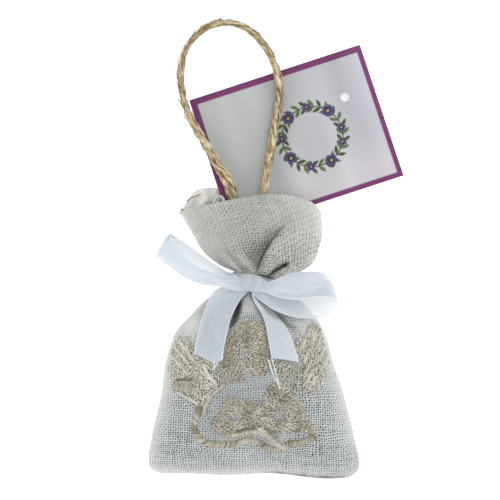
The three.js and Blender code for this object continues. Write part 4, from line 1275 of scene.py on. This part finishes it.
RIGHT_WING = [
    (16.4, 21.4), (19.5, 24.0), (21.8, 23.8), (22.8, 19.0), (23.9, 13.3), (23.5, 9.6), (21.4, 5.9),
    (19.5, 3.4), (18.3, 2.2), (16.4, 4.0), (15.5, 8.4), (16.0, 12.0), (13.2, 15.8), (12.8, 17.8),
    (14.6, 19.5),
]
RIGHT_FEATHERS = [
    [(14.4, 15.2), (15.2, 17.2), (16.4, 19.2)],
    [(16.8, 20.0), (17.6, 21.6), (18.8, 23.2)],
    [(15.8, 12.4), (16.6, 14.2), (17.4, 16.4)],
    [(18.4, 18.2), (19.2, 20.4), (20.4, 22.8)],
    [(16.0, 8.8), (17.2, 11.0), (18.2, 12.8)],
    [(19.2, 15.8), (20.2, 17.6), (21.8, 20.6)],
    [(16.4, 5.8), (17.6, 8.0), (18.8, 10.2)],
    [(20.0, 12.2), (21.2, 14.2), (22.8, 17.4)],
    [(17.6, 4.2), (18.8, 6.2), (19.8, 8.0)],
    [(20.8, 9.4), (21.8, 11.2), (23.2, 13.8)],
]
RIGHT_GAP_SHADOWS = [
    (21.0, 21.8), (21.6, 19.2), (20.4, 14.6), (19.5, 15.7), (18.8, 13.1), (20.9, 11.6), (16.0, 10.4),
    (19.9, 8.4), (18.3, 4.8), (17.5, 16.8), (17.4, 19.4), (19.2, 10.9),
]  # painted shadow: dark stitches in the gaps between the stitches
NOTCH = np.array([0.45, 0.25])
STITCHED_SHARE = 0.75  # how far the stitches hide the cloth
SPARSE_SHARE = 0.4
FILL_LENGTH = 0.8  # of a filling stitch
FILL_PITCH = 0.43  # between rows of them
RAGGED = 0.45  # how far the stitches stray over a field's border
SEAM_CLEARANCE = 0.9  # of the stitches


def in_polygon(x, y, corners):
    inside = np.zeros(np.broadcast(x, y).shape, bool)
    for (x0, y0), (x1, y1) in zip(corners, corners[1:] + corners[:1]):
        if y0 != y1:
            inside ^= ((y0 > y) != (y1 > y)) & (x < x0 + (y - y0) * (x1 - x0) / (y1 - y0))
    return inside


def within(field):
    return lambda x, y: in_polygon(x, y, field)


def in_hollow(x, y, hollow_x, hollow_y, half_x, half_y):
    return ((x - hollow_x) / half_x) ** 2 + ((y - hollow_y) / half_y) ** 2 < 1


def in_skirt(x, y):
    bare = in_hollow(x, y, *LEFT_HOLLOW) | in_polygon(x, y, RIGHT_HOLLOW)
    return in_polygon(x, y, SKIRT) & ~bare


def in_left_wing(x, y):
    inside = in_polygon(x, y, LEFT_WING)
    for bare in LEFT_BARE:
        inside = inside & ~in_hollow(x, y, *bare)
    return inside


def stitched_share(x, y):
    """How much of the cloth at a place is hidden under filling stitches, fading over the fields' borders."""

    def hidden(a, b):
        there = in_skirt(a, b) | in_left_wing(a, b)
        for field in (BODICE, SLEEVE, RIGHT_WING):
            there = there | in_polygon(a, b, field)
        for line, half in ((OUTLINE, OUTLINE_WIDTH / 2), (INNER_ARC, 0.6), (HEM_BAND, 0.8)):
            spots = curve_through(line, 60)
            away = np.hypot(a[..., None] - spots[:, 0], b[..., None] - spots[:, 1]).min(axis=-1)
            there = there | (away < half)
        sparse = in_polygon(a, b, SIDE_GROUND) | in_polygon(a, b, STRIP)
        return np.maximum(there, SPARSE_SHARE * sparse)

    return STITCHED_SHARE * blurred(hidden, x, y, 0.7)


def stitch(start, end, arch, shade, lift):
    """One stitch between two places of the plan, arched over the cloth."""
    t = np.linspace(0, 1, 6)
    x, y = lerp(start[0], end[0], t), lerp(start[1], end[1], t)
    z = front_at(x, y) + 0.1 + lift + arch * np.sin(np.pi * t)
    radius = STITCH_RADIUS * np.array([0.45, 0.95, 1, 1, 0.95, 0.45])
    return shaded_tube(np.stack([x, y, z], axis=1), radius, 5, np.clip(shade, 0, 1))


def shaded_tube(path, radius, sides, shade):
    """A tube of thread whose uv is its own shade and the length along it."""
    points, faces, uv = tube(path, radius, sides)
    return points, faces, np.column_stack([np.full(len(points), shade), uv[:, 0]])


def embroider(name, stitches, node):
    made = make_object(name, *joined(stitches), STITCH)
    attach(made, "sachet")
    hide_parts(node)


def on_cloth(place):
    """Whether a place of the plan is on the front and clear of its side seams."""
    return abs(place[0] - float(side_shift(place[1]))) < float(half_width(place[1])) - SEAM_CLEARANCE


def shade_of(x, y, seed):
    return 0.5 + 0.12 * float(waves(np.array(x), np.array(y), 6.0, seed)) + random.normal() * 0.14


def filling(field, heading, seed, shade, density=1.0, inside=None):
    """Rows of short uneven stitches in a field, or wherever inside says so."""
    inside = inside or within(field)
    (x0, y0), (x1, y1) = np.min(field, axis=0) - 0.4, np.max(field, axis=0) + 0.4
    made = []
    for row, y in enumerate(np.arange(y0, y1, FILL_PITCH)):
        for x in np.arange(x0 + (row % 3) * FILL_LENGTH * 0.31, x1, FILL_LENGTH * 0.72):
            place = np.array([x, y]) + random.normal(size=2) * 0.2
            tested = place + random.normal(size=2) * RAGGED
            if inside(tested[0], tested[1]) and random.uniform() < density:
                sway = 0.4 * float(waves(np.array(x), np.array(y), 4.0, seed + 9))
                turn = heading + sway + random.normal() * 0.25
                reach = np.array([math.cos(turn), math.sin(turn)]) * FILL_LENGTH * random.uniform(0.32, 0.55)
                lift = random.uniform(0.0, 0.25)
                tone = shade_of(x, y, seed) + shade
                if on_cloth(place):
                    made.append(stitch(place - reach, place + reach, 0.16, tone, lift))
    return made


def satin(line, half, slant, seed, arch, pitch, lift, shade, pointed=False):
    """Stitches side by side across a line, each as long as the line is wide there."""
    total = lengths_of(np.asarray(line, float))[-1]
    spots = curve_through(line, max(3, int(total / pitch)))
    ahead = unit(np.gradient(spots, axis=0))
    made = []
    for k, (place, along) in enumerate(zip(spots, ahead)):
        narrow = math.sin(math.pi * (0.12 + 0.76 * k / (len(spots) - 1))) ** 0.5 if pointed else 1.0
        slope = slant * random.uniform(0.65, 1.35)
        reach = (np.array([-along[1], along[0]]) + along * slope) * half * narrow * random.uniform(0.8, 1.12)
        tone = shade_of(*place, seed) + shade
        raised = lift + random.uniform(0, 0.12)
        if on_cloth(place):
            made.append(stitch(place - reach, place + reach, arch, tone, raised))
    return made


def winged(field, feathers, heading, seed, inside=None):
    """A field of short stitches with a rope of slanting ones for each feather."""
    made = filling(field, heading, seed, 0.3, inside=inside)
    for feather in feathers:
        made += satin(feather, 0.6, 0.9, seed, 0.3, 0.42, 0.25, 0.26, pointed=True)
    return made


def build_embroidery():
    left = winged(LEFT_WING, LEFT_FEATHERS, -0.95, 41, in_left_wing)
    left += satin(LEFT_BAND, 1.5, 0.0, 49, 0.3, 0.36, 0.25, 0.06)
    left += satin(LEFT_SHADOW, 0.3, 0.6, 50, 0.3, 0.4, 0.45, -0.7)
    embroider("stitched_wing_left", left, "embroidery_wing_left")
    right = winged(RIGHT_WING, RIGHT_FEATHERS, 1.05, 42)
    # Dark stitches as painted shadow in the right wing's gaps
    right += [stitch(place - NOTCH, place + NOTCH, 0.3, 0.0, 0.4) for place in np.array(RIGHT_GAP_SHADOWS)]
    embroider("stitched_wing_right", right, "embroidery_wing_right")
    bodice = filling(BODICE, -0.2, 43, -0.02)
    bodice += filling(SLEEVE, 1.3, 48, -0.06)
    bodice += filling(STRIP, 1.2, 54, 0.1, 0.4)
    embroider("stitched_bodice", bodice, "embroidery_bodice")
    skirt = filling(SKIRT, -0.15, 44, -0.05, inside=in_skirt)
    skirt += filling(SIDE_GROUND, 1.2, 52, 0.05, 0.45)
    embroider("stitched_skirt", skirt, "embroidery_skirt")
    sash = satin(HEM_BAND, 0.8, 0.4, 45, 0.25, 0.38, 0.0, -0.02)
    sash += satin(SASH_END, 0.95, 0.7, 51, 0.35, 0.4, 0.2, 0.04)
    # Dark stitches as painted shadow between the satin fields
    for line in HEM_SHADOW_LINES:
        sash += satin(line, 0.32, 0.9, 46, 0.3, 0.55, 0.2, -0.45)
    embroider("stitched_sash", sash, "embroidery_sash")
    outline = satin(OUTLINE, OUTLINE_WIDTH / 2, 0.45, 47, 0.3, 0.42, 0.0, -0.2)
    outline += satin(INNER_ARC, 0.6, 0.45, 53, 0.25, 0.42, 0.0, -0.03)
    embroider("stitched_outline", outline, "embroidery_outline")


# Loose threads

TAIL_FRAYS = {
    "bow_tail_right": [[(6.0, 13.6), (7.2, 9.2), (8.4, 4.5)], [(5.0, 13.2), (6.6, 8.2), (8.6, 4.4)]],
    "bow_tail_left": [
        [(-10.4, 12.4), (-11.2, 11.2), (-12.4, 10.0)],
        [(-11.4, 12.6), (-11.6, 11.2), (-11.4, 10.2)],
    ],
}
FRAY_LIFT = 1.1  # above the cloth, so that it passes over the stitches
CORNER_THREADS = [
    ([(-20.3, 61.6, 6.4), (-18.6, 62.8, 6.6), (-17.2, 63.2, 6.8), (-16.0, 63.9, 6.8)], 0.2, 0.0),
    ([(-22.2, 59.2, 6.6), (-21.0, 58.9, 6.8), (-19.4, 59.0, 7.0)], 0.26, 0.12),
    ([(-22.2, 57.8, 6.6), (-21.4, 57.5, 6.8), (-20.4, 57.4, 7.4)], 0.22, 0.5),
]  # path, radius and shade of the seam threads at the mouth's left corner
CURL = [
    (-11.9, 60.1, 10.3), (-11.5, 61.8, 9.9), (-10.5, 63.1, 9.7), (-9.3, 62.8, 9.9), (-8.7, 61.6, 10.5),
    (-8.6, 60.1, 10.9),
]


def build_threads():
    """Frayed threads of the ribbon's tails and the mouth's left corner, and a curl of cloth by the twine."""
    for body, paths in TAIL_FRAYS.items():
        parts = []
        for path in paths:
            line = curve_through(path, 14)
            z = front_at(line[:, 0], line[:, 1]) + FRAY_LIFT
            points, faces, uv = tube(np.column_stack([line, z]), np.linspace(0.22, 0.14, 14), 6)
            parts.append((points, faces, uv * [1, 0]))
        made = make_object(f"{body}_fray", *joined(parts), RIBBON_CLOTH)
        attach(made, body)
    parts = [
        shaded_tube(curve_through(path, 16), np.linspace(radius, 0.6 * radius, 16), 6, shade)
        for path, radius, shade in CORNER_THREADS
    ]
    threads = make_object("seam_threads", *joined(parts), STITCH)
    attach(threads, "sachet")
    curl = make_object("rim_curl", *tube(curve_through(CURL, 28), 0.5, 10), LINEN)
    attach(curl, "sachet")


# Stage

FLOOR_HALF = 1500.0
FLOOR_LEVEL = -0.3
LIGHT_AIM = Vector((0, 0.045, 0))
LIGHTS = {
    "key": ((0.4, 0.4, 0.8), 0.6, 2.2),
    "fill": ((0.0, -0.8, 0.4), 0.7, 2.6),
    "left": ((-0.8, -0.05, 0.35), 0.6, 3.4),
    "right": ((0.8, -0.05, 0.35), 0.6, 2.8),
}  # place in metres, size and power


def build_stage():
    corners = np.array([(-1, -1), (1, -1), (1, 1), (-1, 1)]) * FLOOR_HALF
    points = np.column_stack([corners, np.full(4, FLOOR_LEVEL)])
    floor = make_object("floor", points, [[0, 1, 2, 3]], corners, floor_material())
    scene = bpy.context.scene
    scene.world = bpy.data.worlds.new("studio")
    scene.world.use_nodes = True
    sky = scene.world.node_tree.nodes["Background"].inputs
    sky["Color"].default_value = (1, 1, 1, 1)
    sky["Strength"].default_value = 0.55
    for name, (place, size, power) in LIGHTS.items():
        data = bpy.data.lights.new(name, "AREA")
        data.size = size
        data.energy = power
        light = bpy.data.objects.new(name, data)
        light.location = place
        light.rotation_euler = (LIGHT_AIM - Vector(place)).to_track_quat("-Z", "Y").to_euler()
        scene.collection.objects.link(light)
    scene.view_settings.view_transform = "Standard"


def build_camera():
    """Straight above the bag, with the photograph's scale and framing."""
    data = bpy.data.cameras.new("camera")
    data.lens = LENS
    data.sensor_width = SENSOR
    camera = bpy.data.objects.new("camera", data)
    middle = PICTURE_SIDE / 2
    x = (middle - ORIGIN_PIXEL[0]) * MM_PER_PIXEL
    y = (ORIGIN_PIXEL[1] - middle) * MM_PER_PIXEL
    away = PICTURE_SIDE * MM_PER_PIXEL * LENS / SENSOR
    camera.location = np.array([x, y, PICTURE_PLANE + away]) * MM
    bpy.context.scene.collection.objects.link(camera)
    bpy.context.scene.camera = camera


build_camera()
build_twine()
build_bag()
build_filling()
build_bow()
build_knot()
build_wrap()
build_card()
build_embroidery()
build_threads()
build_stage()
